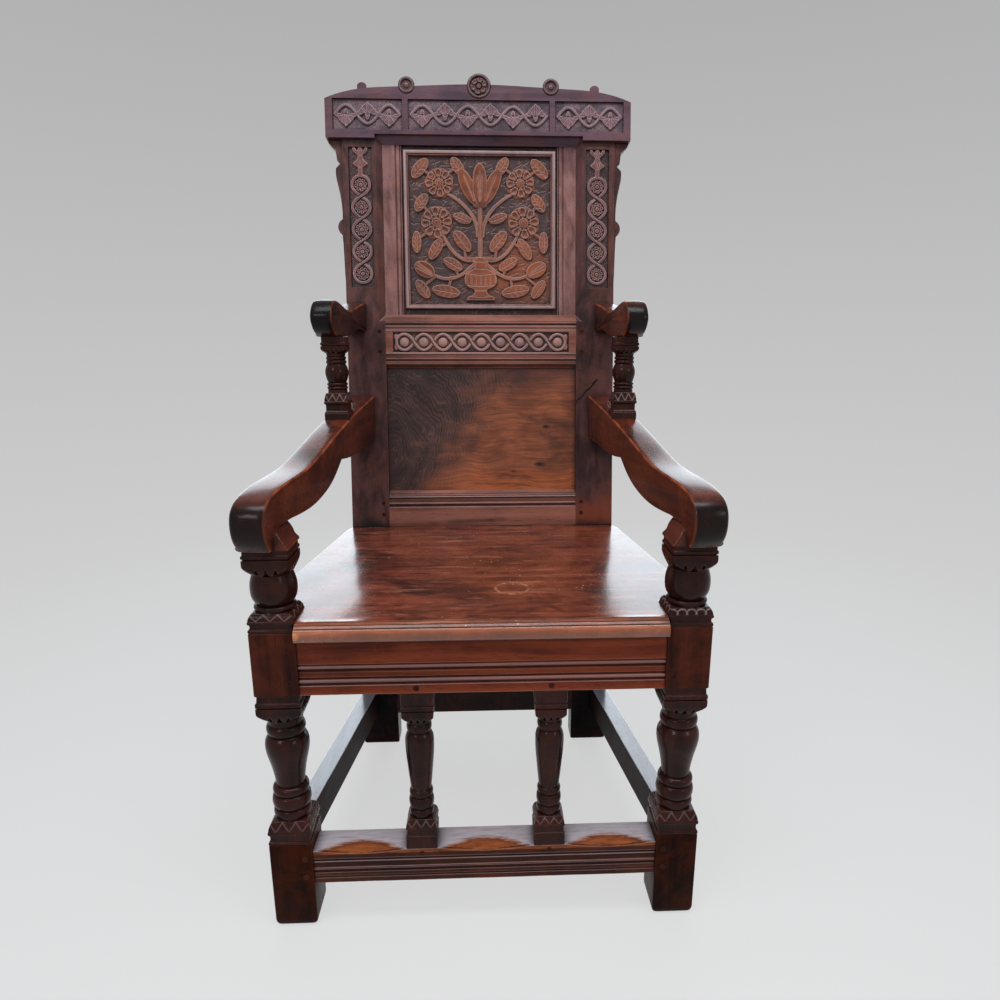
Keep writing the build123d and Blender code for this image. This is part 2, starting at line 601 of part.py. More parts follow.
def along_back(points, x0, x1, mode=Mode.ADD):
    """Moulded section in (height up the rake, depth behind the face) run across the back."""
    run = Plane(origin=back.from_local_coords((x1, 0, 0)), x_dir=back.y_dir, z_dir=(-1, 0, 0))
    prism(points, run, x1 - x0, mode)


with BuildPart() as lower_back_rail:
    section = [(0, 0), (34.6, 0), (35.6, 1.2), (36.6, 0), (38.4, 0), (39.6, 1.5), (43, 1.5), (44, 0),
               (54, 0), (55.2, 1.2), (56.4, 0), (low_rail_top - 11.7, 0), (low_rail_top, chamfer_deep),
               (low_rail_top, rail_thick), (rail_thick * tan(rake), rail_thick)]
    along_back(section, -stile_in, stile_in)
    slab(-stile_in, stile_in, low_rail_top - groove_deep, low_rail_top + 1,
         panel_sink - fit, panel_sink + panel_thick + fit, Mode.SUBTRACT)
    for sign in (-1, 1):
        back_tenon(sign, low_rail_tenon)
        for s in low_rail_pegs:
            back_peg(sign, s, peg_dia + 2 * peg_fit, Mode.SUBTRACT)
lower_back_rail.part.label = "lower_back_rail"
export_step(lower_back_rail.part, "parts/lower_back_rail.step")

band_low = mid_rail_low + 30.0
band_high = mid_rail_high - 33.4
band_half = stile_in - 13.75
bosses = 9
boss_step = band_half / 4.588
with BuildPart() as mid_rail:
    low = mid_rail_low
    high = mid_rail_high
    section = [(low, chamfer_deep), (low + 12, 0), (low + 24.1, 0), (low + 25.3, 1.4), (low + 26.5, 0),
               (high - 32.4, 0), (high - 31.2, 1.4), (high - 30, 0), (high - 21, 0), (high - 19.8, 1.4),
               (high - 18.6, 0), (high - 15, 0), (high - 14, 1.0), (high - 13, 0), (high, 0),
               (high, rail_thick), (low, rail_thick)]
    along_back(section, -stile_in, stile_in)
    upper_opening()
    slab(-band_half, band_half, band_low, band_high, -1, field_deep, Mode.SUBTRACT)
    slab(-stile_in, stile_in, low - 1, low + groove_deep,
         panel_sink - fit, panel_sink + panel_thick + fit, Mode.SUBTRACT)
    edge = panel_side + groove_deep
    slab(-edge, edge, mid_rail_high - groove_deep, mid_rail_high + 1,
         carved_sink - fit, carved_sink + carved_thick + fit, Mode.SUBTRACT)
    for sign in (-1, 1):
        back_tenon(sign, mid_rail_tenon)
        for s in mid_rail_pegs:
            back_peg(sign, s, peg_dia + 2 * peg_fit, Mode.SUBTRACT)
        x0, x1 = sorted((sign * (panel_side + 9), sign * (stile_in - 6)))
        slab(x0 - fit, x1 + fit, mid_rail_high - 20 - end_play, mid_rail_high + 1,
             15 - fit, 25 + fit, Mode.SUBTRACT)
    # nine linked rings with domed bosses
    with BuildSketch(back.offset(-field_deep)) as knots:
        for k in range(bosses):
            with Locations((boss_step * (k - (bosses - 1) / 2), (band_low + band_high) / 2)):
                Circle(18.0)
                Circle(13.6, mode=Mode.SUBTRACT)
                Circle(8.6)
    extrude(to_extrude=knots.sketch, amount=field_deep)
mid_rail.part.label = "mid_rail"
export_step(mid_rail.part, "parts/mid_rail.step")

# ---- muntins, panels and the panel moulding -----------------------------------------------
with BuildPart() as muntin_left:
    slab(-stile_in, -stile_in + muntin_wide, mid_rail_high, crest_low, panel_sink, panel_sink + muntin_thick)
    slab(-stile_in + muntin_wide, -panel_side, mid_rail_high, crest_low,
         panel_sink + 2.5, panel_sink + muntin_thick)
    slab(-stile_in + muntin_wide + 3, -panel_side - 4, mid_rail_high, crest_low,
         panel_sink + 0.5, panel_sink + 4)
    slab(-panel_side - groove_deep, -panel_side + 1, mid_rail_high, crest_low,
         carved_sink - fit, carved_sink + carved_thick + fit, Mode.SUBTRACT)
    for s0, s1 in ((mid_rail_high - 20, mid_rail_high), (crest_low, crest_low + 20)):
        slab(-stile_in + 6, -panel_side - 9, s0, s1, 15, 25)
muntin_left.part.label = "muntin_left"
export_step(muntin_left.part, "parts/muntin_left.step")

with BuildPart() as muntin_right:
    add(mirror(muntin_left.part, about=Plane.YZ))
muntin_right.part.label = "muntin_right"
export_step(muntin_right.part, "parts/muntin_right.step")

with BuildPart() as lower_panel:
    edge = stile_in + panel_tongue
    slab(-edge, edge, low_rail_top - panel_tongue, mid_rail_low + panel_tongue,
         panel_sink, panel_sink + panel_thick)
lower_panel.part.label = "lower_panel"
export_step(lower_panel.part, "parts/lower_panel.step")

frame_x = panel_side - 2.5
frame_low = mid_rail_high + moulding_margin
frame_high = crest_low - 7.7
inner_x = frame_x - moulding_wide
inner_low = frame_low + moulding_wide
inner_high = frame_high - moulding_wide

# Flat-carved panel: a footed vase with a tulip, scrolling stems, rosettes and leaves,
# laid out for an opening of 265.3 by 269.5 inside the mouldings.
carve_x = 2 * inner_x / 265.3
carve_y = (inner_high - inner_low) / 269.5
panel_mid = (inner_low + inner_high) / 2 + 0.85
stem = 9.0


def spot(x, y):
    """Place on the carved panel for a place in its layout."""
    return (x * carve_x, y * carve_y)


def blob(x, y, wide, tall, lean=0.0):
    """Rounded lobe of the carving."""
    with Locations(spot(x, y)):
        Ellipse(wide * carve_x, tall * carve_y, rotation=lean)


leaves = ((34, -20, 9, 21, 38), (52, -62, 8, 18, 60), (84, -34, 8, 20, -30), (66, -112, 9, 24, 80),
          (110, -108, 8, 18, 35), (34, 22, 7, 16, 70), (110, 50, 8, 17, -35), (112, 112, 9, 20, -40),
          (42, 116, 8, 17, 30), (120, -22, 7, 18, 0))
stems = (((6, -52), (44, -46), (76, 4)), ((4, -10), (20, 34), (64, 68)), ((8, -58), (54, -88), (98, -76)))
with BuildPart() as carved_panel:
    edge = panel_side + panel_tongue
    slab(-edge, edge, mid_rail_high - panel_tongue, crest_low + panel_tongue,
         carved_sink, carved_sink + carved_thick)
    with BuildSketch(Plane(back.offset(-carved_sink).from_local_coords((0, panel_mid, 0)),
                           x_dir=(1, 0, 0), z_dir=back.z_dir)) as carving:
        with Locations(spot(0, -117)):
            Trapezoid(46 * carve_x, 12 * carve_y, 72)
        blob(0, -90, 31, 22)
        with Locations(spot(0, -64)):
            Rectangle(22 * carve_x, 16 * carve_y)
        blob(0, -55, 25, 5.5)
        with Locations(spot(0, -5)):
            Rectangle(stem, 100 * carve_y)
        blob(0, 82, 12, 34)
        for sign in (-1, 1):
            blob(sign * 21, 78, 10, 32, -sign * 24)
            for sweep in stems:
                with BuildLine():
                    ThreePointArc(*[spot(sign * x, y) for x, y in sweep])
                trace(line_width=stem - 1)
            blob(sign * 82, 14, 27, 26.9)
            blob(sign * 74, 86, 24, 23.9)
            blob(sign * 106, -72, 17, 11, sign * 30)
            for x, y, wide, tall, lean in leaves:
                blob(sign * x, y, wide, tall, -sign * lean)
    extrude(to_extrude=carving.sketch, amount=relief)
carved_panel.part.label = "carved_panel"
export_step(carved_panel.part, "parts/carved_panel.step")


def moulding(corners):
    """One mitred length of the bead round the carved panel."""
    prism(corners, back.offset(-carved_sink), moulding_high)


with BuildPart() as panel_moulding_top:
    moulding([(-frame_x, frame_high), (-inner_x, inner_high), (inner_x, inner_high), (frame_x, frame_high)])
panel_moulding_top.part.label = "panel_moulding_top"
export_step(panel_moulding_top.part, "parts/panel_moulding_top.step")

with BuildPart() as panel_moulding_bottom:
    moulding([(-frame_x, frame_low), (frame_x, frame_low), (inner_x, inner_low), (-inner_x, inner_low)])
panel_moulding_bottom.part.label = "panel_moulding_bottom"
export_step(panel_moulding_bottom.part, "parts/panel_moulding_bottom.step")

with BuildPart() as panel_moulding_left:
    moulding([(-frame_x, frame_low), (-inner_x, inner_low), (-inner_x, inner_high), (-frame_x, frame_high)])
panel_moulding_left.part.label = "panel_moulding_left"
export_step(panel_moulding_left.part, "parts/panel_moulding_left.step")

with BuildPart() as panel_moulding_right:
    moulding([(frame_x, frame_low), (frame_x, frame_high), (inner_x, inner_high), (inner_x, inner_low)])
panel_moulding_right.part.label = "panel_moulding_right"
export_step(panel_moulding_right.part, "parts/panel_moulding_right.step")

# ---- crest rail -----------------------------------------------------------------------------
crest_end = stile_out + crest_overhang
ground_low = crest_low + 20.0
ground_high = crest_mid_top - 27.0
ground_end = crest_end - 13.5
bar_x = 0.4813 * crest_end    # middle of the upright bars that part the grounds
bar_wide = 10.0
roundel_dia = 44.0
roundel_s = crest_mid_top - 3.2
small_dia = 30.0
small_s = crest_mid_top - 3.0
small_x = bar_x - 3.0
knob_x = 0.763 * crest_end
knob = 17.0
knob_top = crest_mid_top + 5.5
knob_deep = 13.0              # middle of the knobs behind the frame face
knob_dowel = 8.0
knob_dowel_s = crest_mid_top - 25.0
roundel_deep = 16.0
with BuildPart() as crest_rail:
    with BuildSketch(back.offset(crest_proud)) as front_view:
        with BuildLine():
            Polyline((crest_end, crest_end_top), (crest_end, back_height), (stile_in, back_height),
                     (stile_in, crest_low), (-stile_in, crest_low), (-stile_in, back_height),
                     (-crest_end, back_height), (-crest_end, crest_end_top))
            shoulder = (0.813 * crest_end, crest_mid_top - 12)
            swell = (0.524 * crest_end, crest_mid_top - 5.5)
            Spline((-crest_end, crest_end_top), (-shoulder[0], shoulder[1]), (-swell[0], swell[1]),
                   (0, crest_mid_top), swell, shoulder, (crest_end, crest_end_top))
        make_face()
    extrude(to_extrude=front_view.sketch, amount=-crest_proud - stile_thick)
    upper_opening()
    slab(-stile_in - chamfer_wide, stile_in + chamfer_wide, crest_low - 1, crest_low + chamfer_tall,
         -crest_proud - 1, 0, Mode.SUBTRACT)
    # three sunk grounds parted by two upright bars
    bar_out = bar_x + bar_wide / 2
    bar_in = bar_x - bar_wide / 2
    for x0, x1 in ((-ground_end, -bar_out), (-bar_in, bar_in), (bar_out, ground_end)):
        slab(x0, x1, ground_low, ground_high, -crest_proud - 1, -crest_proud + field_deep,
             Mode.SUBTRACT)
    edge = panel_side + groove_deep
    slab(-edge, edge, crest_low - 1, crest_low + groove_deep,
         carved_sink - fit, carved_sink + carved_thick + fit, Mode.SUBTRACT)
    for sign in (-1, 1):
        x0, x1 = sorted((sign * (panel_side + 9), sign * (stile_in - 6)))
        slab(x0 - fit, x1 + fit, crest_low - 1, crest_low + 20 + end_play, 15 - fit, 25 + fit,
             Mode.SUBTRACT)
        x0, x1 = sorted((sign * (stile_in + 14), sign * (stile_out - 14)))
        slab(x0 - fit, x1 + fit, back_height - 1, back_height + crest_tenon_long + end_play,
             back_tenon_d - fit, back_tenon_d + tenon_thick + fit, Mode.SUBTRACT)
        crest_peg(sign, peg_dia + 2 * peg_fit, Mode.SUBTRACT)
        rod(back.from_local_coords((sign * knob_x, knob_dowel_s, -knob_deep)), tuple(back.y_dir),
            knob_dowel + 2 * fit, 60, Mode.SUBTRACT)
    for x, s, dia in ((0, roundel_s, roundel_dia), (-small_x, small_s, small_dia),
                      (small_x, small_s, small_dia)):
        rod(back.from_local_coords((x, s, -roundel_deep - fit)), tuple(back.z_dir), dia + 2 * fit, 40,
            Mode.SUBTRACT)
    # running leaf ornament standing in the grounds
    ground_mid = (ground_low + ground_high) / 2
    with BuildSketch(Plane(back.offset(crest_proud - field_deep).from_local_coords((0, ground_mid, 0)),
                           x_dir=(1, 0, 0), z_dir=back.z_dir)) as carving:
        side_mid = (ground_end + bar_out) / 2
        side_pitch = (ground_end - bar_out) / 3.175
        for centre, waves, pitch in ((-side_mid, 3, side_pitch), (0, 6, bar_in / 3.25),
                                     (side_mid, 3, side_pitch)):
            for k in range(waves):
                x = centre + pitch * (k - (waves - 1) / 2)
                bend = 11 if k % 2 else -11
                with BuildLine():
                    ThreePointArc((x - pitch / 2, 0), (x, bend), (x + pitch / 2, 0))
                trace(line_width=6)
                with Locations((x + 2, -0.75 * bend)):
                    Ellipse(12, 7.5, rotation=25 if k % 2 else -25)
    extrude(to_extrude=carving.sketch, amount=field_deep)
crest_rail.part.label = "crest_rail"
export_step(crest_rail.part, "parts/crest_rail.step")


def roundel(x, s, dia):
    """Disc let into the top of the crest, with a ring and a boss on its face."""
    face = -crest_proud - 3.0
    rod(back.from_local_coords((x, s, -roundel_deep)), tuple(back.z_dir), dia, roundel_deep - face - 2)
    with BuildSketch(Plane(back.from_local_coords((x, s, -face - 2)), x_dir=(1, 0, 0),
                           z_dir=back.z_dir)) as rings:
        Circle(dia / 2)
        Circle(dia / 2 - 3.5, mode=Mode.SUBTRACT)
        Circle(dia * 0.2)
    extrude(to_extrude=rings.sketch, amount=2)


with BuildPart() as crest_roundel_centre:
    roundel(0, roundel_s, roundel_dia)
crest_roundel_centre.part.label = "crest_roundel_centre"
export_step(crest_roundel_centre.part, "parts/crest_roundel_centre.step")

with BuildPart() as crest_roundel_left:
    roundel(-small_x, small_s, small_dia)
crest_roundel_left.part.label = "crest_roundel_left"
export_step(crest_roundel_left.part, "parts/crest_roundel_left.step")

with BuildPart() as crest_roundel_right:
    roundel(small_x, small_s, small_dia)
crest_roundel_right.part.label = "crest_roundel_right"
export_step(crest_roundel_right.part, "parts/crest_roundel_right.step")

# ---- knobs on the crest and shaped strips outside the stiles -----------------------------------
with BuildPart() as crest_knob_left:
    with BuildSketch(back.offset(11 - knob_deep)) as outline:
        with BuildLine():
            low = crest_mid_top - 17
            high = knob_top - 5
            Polyline((-knob_x + knob / 2, high), (-knob_x + knob / 2, low), (-knob_x - knob / 2, low),
                     (-knob_x - knob / 2, high))
            ThreePointArc((-knob_x - knob / 2, high), (-knob_x, knob_top), (-knob_x + knob / 2, high))
        make_face()
    extrude(to_extrude=outline.sketch, amount=-22)
    add(crest_rail.part, mode=Mode.SUBTRACT)
    rod(back.from_local_coords((-knob_x, knob_dowel_s + end_play, -knob_deep)), tuple(back.y_dir),
        knob_dowel, 20)
crest_knob_left.part.label = "crest_knob_left"
export_step(crest_knob_left.part, "parts/crest_knob_left.step")

with BuildPart() as crest_knob_right:
    add(mirror(crest_knob_left.part, about=Plane.YZ))
crest_knob_right.part.label = "crest_knob_right"
export_step(crest_knob_right.part, "parts/crest_knob_right.step")

earpiece_front = 3.0
earpiece_thick = 24.0
with BuildPart() as earpiece_left:
    with BuildSketch(back.offset(-earpiece_front)) as outline:
        with BuildLine():
            out = -stile_out
            top = back_height
            Polyline((out, top - 265), (out, top), (-crest_end + 2, top))
            ThreePointArc((-crest_end + 2, top), (out - 22, top - 10), (out - 13, top - 14))
            Spline((out - 13, top - 14), (out - 11.5, top - 29), (out - 10, top - 38))
            Polyline((out - 10, top - 38), (out - 5, top - 42), (out - 13, top - 50))
            Spline((out - 13, top - 50), (out - 13.4, top - 62), (out - 8, top - 89),
                   (out - 4.6, top - 111), (out - 3.4, top - 141))
            ThreePointArc((out - 3.4, top - 141), (out - 12, top - 154), (out - 7, top - 167))
            Line((out - 7, top - 167), (out - 4.4, top - 170))
            Spline((out - 4.4, top - 170), (out - 2.6, top - 198), (out - 1.6, top - 237),
                   (out, top - 265))
        make_face()
    extrude(to_extrude=outline.sketch, amount=-earpiece_thick)
earpiece_left.part.label = "earpiece_left"
export_step(earpiece_left.part, "parts/earpiece_left.step")

with BuildPart() as earpiece_right:
    add(mirror(earpiece_left.part, about=Plane.YZ))
earpiece_right.part.label = "earpiece_right"
export_step(earpiece_right.part, "parts/earpiece_right.step")

# ---- main arms ------------------------------------------------------------------------------------
column_hole = 18.0
column_hole_low = column_low - 40.0
arm_laid_out = 478.0          # depth to the back for which the arm's curves are given


def arm_plane(inner_at_face, splay):
    """Upright plane on the inner face of a left arm, local x running back from the post faces."""
    length = (1 + splay ** 2) ** 0.5
    return Plane(origin=(-inner_at_face, face_y, 0), x_dir=(splay / length, 1 / length, 0),
                 z_dir=(1 / length, -splay / length, 0))


def behind(y):
    """Place along a main arm, whose curves behind the post stretch with the chair's depth."""
    start = post + 12.0
    return start + (y - start) * (depth_to_back - start) / (arm_laid_out - start)


def main_outline():
    """Side view of a main arm: scroll-over nose, flat seat on the post, cusped underside."""
    with BuildSketch(arm_plane(arm_inner_front, main_splay)) as outline:
        with BuildLine():
            under_rear = [(545, 642), (430, 635), (350, 631), (298, 635.5)]
            under_front = [(298, 635.5), (254, 612.5), (203, 598), (142, 591.5), (100, 592.5),
                           (post + 12, head_top)]
            Spline(*[(behind(y), z) for y, z in under_rear])
            Spline(*[(behind(y), z) for y, z in under_front])
            Polyline((post + 12, head_top), (24, head_top), (18, 568.5), (-7, 568.5))
            top = [(142, 651), (222, 666.5), (330, 690.5), (420, 706.5), (545, 725)]
            Spline((-7, 568.5), (-18, 584), (-arm_reach, 604), (-18.5, 621), (-7, 633), (14, 640.5),
                   (65, 646.5), *[(behind(y), z) for y, z in top])
            Line((behind(545), 725), (behind(545), 642))
        make_face()
    return outline.sketch


with BuildPart() as arm_left:
    extrude(to_extrude=main_outline(), amount=-arm_thick)
    slab(-stile_out - 90, -stile_in + 80, 100, 300, 0, 200, Mode.SUBTRACT)
    arm_rear_tenon(-main_tenon_x, main_tenon)
    box(-width_over_posts / 2 - 35, -post_in + 45, face_y + 1.5, face_y + post, head_low - 5,
        head_low + head_neck, Mode.SUBTRACT)
    post_head(-width_over_posts / 2 - 35, -post_in + 45, Mode.SUBTRACT)
    post_tenon(fit, Mode.SUBTRACT)
    rod((-column_x, face_y + column_y, column_hole_low), (0, 0, 1), column_hole + 2 * fit, 60,
        Mode.SUBTRACT)
    arm_front_peg(-1, peg_dia + 2 * peg_fit, Mode.SUBTRACT)
    arm_rear_peg(-1, main_tenon, peg_dia + 2 * peg_fit, Mode.SUBTRACT)
arm_left.part.label = "arm_left"
export_step(arm_left.part, "parts/arm_left.step")

with BuildPart() as arm_right:
    add(mirror(arm_left.part, about=Plane.YZ))
arm_right.part.label = "arm_right"
export_step(arm_right.part, "parts/arm_right.step")

# ---- small columns and short upper arms ----------------------------------------------------------------
with BuildPart() as wing_column_left:
    x = -column_x
    y = face_y + column_y
    half = column / 2
    square(x, y, column_low - 30, column_low, half)
    low = column_low
    for tall, inset in ((2.5, 0.8), (12.0, 2.2), (5.0, 0.0), (13.5, 1.2)):
        square(x, y, low, low + tall, half - inset)
        low += tall
    fillet(wing_column_left.edges().filter_by_position(Axis.Z, low, low), radius=4.0)
    cap = column_top - 27.5
    turn(x, y, [(16.6, low - 1, 0), (16.6, low + 4.5, 0), (16.4, low + 5, 0), (16.8, low + 10.5, 1.2),
                (16.0, low + 11, 0), (17.0, low + 16.5, 1.2), (15.6, low + 17, 0),
                (16.6, cap - 16.5, 3.4), (15.8, cap - 16, 0), (16.2, cap - 10, 1.2),
                (15.6, cap - 9.5, 0), (16.2, cap - 4, 1.2), (15.6, cap - 3.5, 0), (16.4, cap, 0),
                (16.4, cap + 1, 0)])
    square(x, y, cap, cap + 12.5, half)
    cap_edges = wing_column_left.edges().filter_by(GeomType.LINE)
    fillet(cap_edges.filter_by_position(Axis.Z, cap, cap), radius=6.5)
    square(x, y, cap + 12.5, cap + 14, half - 1.5)
    square(x, y, cap + 14, cap + 18.5, half)
    square(x, y, cap + 18.5, column_top, half - 1.5)
    extrude(to_extrude=main_outline(), amount=-arm_thick, mode=Mode.SUBTRACT)
    extrude(to_extrude=main_outline(), amount=20, mode=Mode.SUBTRACT)
    rod((x, y, column_hole_low + end_play + 2), (0, 0, 1), column_hole, 40)
    square(x, y, column_top - 1, column_top + column_tenon, column_tenon / 2)
wing_column_left.part.label = "wing_column_left"
export_step(wing_column_left.part, "parts/wing_column_left.step")

with BuildPart() as wing_column_right:
    add(mirror(wing_column_left.part, about=Plane.YZ))
wing_column_right.part.label = "wing_column_right"
export_step(wing_column_right.part, "parts/wing_column_right.step")


def wing_outline():
    """Side view of a short upper arm, dipped in the middle."""
    inner_at_face = wing_inner_front + wing_front * wing_splay
    with BuildSketch(arm_plane(inner_at_face, wing_splay)) as outline:
        with BuildLine():
            legs = depth_to_back
            column_rear = column_y + column / 2 + 3
            column_fore = column_y - column / 2 + 2
            Spline((legs + 112, 838), (legs + 54, 839.5), (legs + 12, 842.5), (legs - 38, 833),
                   (column_rear, column_top))
            Line((column_rear, column_top), (column_fore, column_top))
            Spline((column_fore, column_top), (legs - 141, 836), (legs - 151, 847), (wing_front - 2, 860),
                   (legs - 150, 873), (legs - 140, 883.5), (legs - 123, 887.5), (legs - 103, 885),
                   (legs - 75, 878.5), (legs - 44, 873.8), (legs - 17, 877), (legs + 20, 885),
                   (legs + 67, 891.5), (legs + 112, 898))
            Line((legs + 112, 898), (legs + 112, 838))
        make_face()
    return outline.sketch


with BuildPart() as wing_arm_left:
    extrude(to_extrude=wing_outline(), amount=-wing_thick)
    slab(-stile_out - 90, -stile_in + 80, 250, 500, 0, 200, Mode.SUBTRACT)
    arm_rear_tenon(-wing_tenon_x, wing_tenon)
    x = -column_x
    y = face_y + column_y
    square(x, y, column_top - 1, column_top + column_tenon + end_play, column_tenon / 2 + fit,
           Mode.SUBTRACT)
    arm_rear_peg(-1, wing_tenon, peg_dia + 2 * peg_fit, Mode.SUBTRACT)
wing_arm_left.part.label = "wing_arm_left"
export_step(wing_arm_left.part, "parts/wing_arm_left.step")

with BuildPart() as wing_arm_right:
    add(mirror(wing_arm_left.part, about=Plane.YZ))
wing_arm_right.part.label = "wing_arm_right"
export_step(wing_arm_right.part, "parts/wing_arm_right.step")

# ---- pegs ------------------------------------------------------------------------------------------------
with BuildPart() as pegs_front_joints:
    for sign in (-1, 1):
        for z in rail_peg_z + stretcher_peg_z:
            front_peg(sign, z, peg_dia, proud=peg_proud)
pegs_front_joints.part.label = "pegs_front_joints"
export_step(pegs_front_joints.part, "parts/pegs_front_joints.step")

with BuildPart() as pegs_spindles:
    for sign in (-1, 1):
        for z in (rail_bottom + 8, stretcher_high - 8):
            rod((sign * spindle_x, rail_y - peg_proud, z), (0, 1, 0), peg_dia, 33)
pegs_spindles.part.label = "pegs_spindles"
export_step(pegs_spindles.part, "parts/pegs_spindles.step")

with BuildPart() as pegs_back:
    for sign in (-1, 1):
        for s in low_rail_pegs + mid_rail_pegs:
            back_peg(sign, s, peg_dia, proud=peg_proud)
        crest_peg(sign, peg_dia, proud=peg_proud)
pegs_back.part.label = "pegs_back"
export_step(pegs_back.part, "parts/pegs_back.step")

with BuildPart() as pegs_arms:
    for sign in (-1, 1):
        for heights in (main_tenon, wing_tenon):
            arm_rear_peg(sign, heights, peg_dia)
        arm_front_peg(sign, peg_dia)
pegs_arms.part.label = "pegs_arms"
export_step(pegs_arms.part, "parts/pegs_arms.step")
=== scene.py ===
from math import cos, pi, radians, sin, sqrt

import bmesh
import bpy
import numpy as np
from mathutils import Matrix, Vector


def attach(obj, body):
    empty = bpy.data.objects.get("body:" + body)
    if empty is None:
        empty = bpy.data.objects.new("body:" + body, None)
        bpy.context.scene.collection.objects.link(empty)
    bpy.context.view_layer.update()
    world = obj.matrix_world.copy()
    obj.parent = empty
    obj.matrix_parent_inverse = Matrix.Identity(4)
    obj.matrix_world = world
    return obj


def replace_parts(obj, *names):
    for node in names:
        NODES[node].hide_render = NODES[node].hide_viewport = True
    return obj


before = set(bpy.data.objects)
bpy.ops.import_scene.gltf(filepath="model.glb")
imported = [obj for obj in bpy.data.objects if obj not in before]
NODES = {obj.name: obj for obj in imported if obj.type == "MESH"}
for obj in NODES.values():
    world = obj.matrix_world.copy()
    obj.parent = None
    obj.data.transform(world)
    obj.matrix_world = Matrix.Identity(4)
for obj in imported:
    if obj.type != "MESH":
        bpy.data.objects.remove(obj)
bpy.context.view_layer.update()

MM = 0.001

# ---- sizes shared with the joiner's work, in millimetres -----------------------------------------
POST_FACE = -311.603          # front faces of the front posts
POST = 60.0
POST_X = 275.0
POST_Y = POST_FACE + POST / 2
POST_IN = 245.0
SEAT = 472.0
BACK_Y = 166.397              # front faces of the rear legs
RAKE = radians(8.8)
STILE_IN = 180.75
RAIL_Y = POST_FACE + 3.0


def on_back(x, s, d):
    """Point of the raked back: x across, s up the rake from the seat, d out of its face."""
    return np.stack(np.broadcast_arrays(x, BACK_Y + s * sin(RAKE) - d * cos(RAKE),
                                        SEAT + s * cos(RAKE) + d * sin(RAKE)), axis=-1)


# ================================ finishes ========================================================
def colour(red, green, blue):
    """Linear colour for a paint-chart value of 0 to 255 in each channel."""
    def linear(value):
        value /= 255.0
        return value / 12.92 if value <= 0.04045 else ((value + 0.055) / 1.055) ** 2.4
    return (linear(red), linear(green), linear(blue), 1.0)


class Nodes:
    """Short-hand for laying out a node tree."""

    def __init__(self, tree):
        self.tree = tree

    def add(self, kind, **settings):
        node = self.tree.nodes.new("ShaderNode" + kind)
        for key, value in settings.items():
            setattr(node, key, value)
        return node

    def plug(self, value, socket):
        """Joins an output to a socket, or writes a plain value into it."""
        if isinstance(value, bpy.types.NodeSocket):
            self.tree.links.new(value, socket)
        else:
            socket.default_value = value

    def math(self, kind, a, b=0.0, clamp=False):
        node = self.add("Math", operation=kind, use_clamp=clamp)
        self.plug(a, node.inputs[0])
        self.plug(b, node.inputs[1])
        return node.outputs[0]

    def span(self, value, low, high, to_low=0.0, to_high=1.0):
        """Value's range from low to high spread to another range, and held at its ends."""
        node = self.add("MapRange", interpolation_type="SMOOTHSTEP")
        for socket, given in zip(node.inputs, (value, low, high, to_low, to_high)):
            self.plug(given, socket)
        return node.outputs[0]

    def mix(self, share, a, b, blend="MIX"):
        node = self.add("Mix", data_type="RGBA", blend_type=blend)
        self.plug(share, node.inputs[0])
        self.plug(a, node.inputs[6])
        self.plug(b, node.inputs[7])
        return node.outputs[2]

    def stain(self, tone, mask, share, paint):
        """Tone with a share of a paint-chart colour over it where the mask is."""
        return self.mix(self.math("MULTIPLY", mask, share), tone, colour(*paint))

    def vector(self, kind, a, b):
        node = self.add("VectorMath", operation=kind)
        self.plug(a, node.inputs[0])
        self.plug(b, node.inputs[1])
        return node.outputs[0]

    def parts(self, place):
        """X, Y and Z of a place."""
        node = self.add("SeparateXYZ")
        self.plug(place, node.inputs[0])
        return node.outputs

    def distance(self, place, spot, stretch=(1.0, 1.0, 1.0)):
        """Distance of a place from a spot, after a stretch along each axis."""
        node = self.add("VectorMath", operation="LENGTH")
        self.plug(self.vector("MULTIPLY", self.vector("SUBTRACT", place, spot), stretch), node.inputs[0])
        return node.outputs["Value"]

    def noise(self, place, scale, detail=3.0, rough=0.55, twist=0.0, stretch=None):
        if stretch:
            place = self.vector("MULTIPLY", place, stretch)
        node = self.add("TexNoise")
        self.plug(place, node.inputs["Vector"])
        node.inputs["Scale"].default_value = scale
        node.inputs["Detail"].default_value = detail
        node.inputs["Roughness"].default_value = rough
        node.inputs["Distortion"].default_value = twist
        return node.outputs[0]


def group(name, takes, gives):
    """Empty node group with named inputs and outputs; returns it with its two end nodes."""
    tree = bpy.data.node_groups.new(name, "ShaderNodeTree")
    for label, kind, start in takes:
        socket = tree.interface.new_socket(label, in_out="INPUT", socket_type="NodeSocket" + kind)
        if start is not None:
            socket.default_value = start
    for label, kind in gives:
        tree.interface.new_socket(label, in_out="OUTPUT", socket_type="NodeSocket" + kind)
    return tree, tree.nodes.new("NodeGroupInput").outputs, tree.nodes.new("NodeGroupOutput").inputs


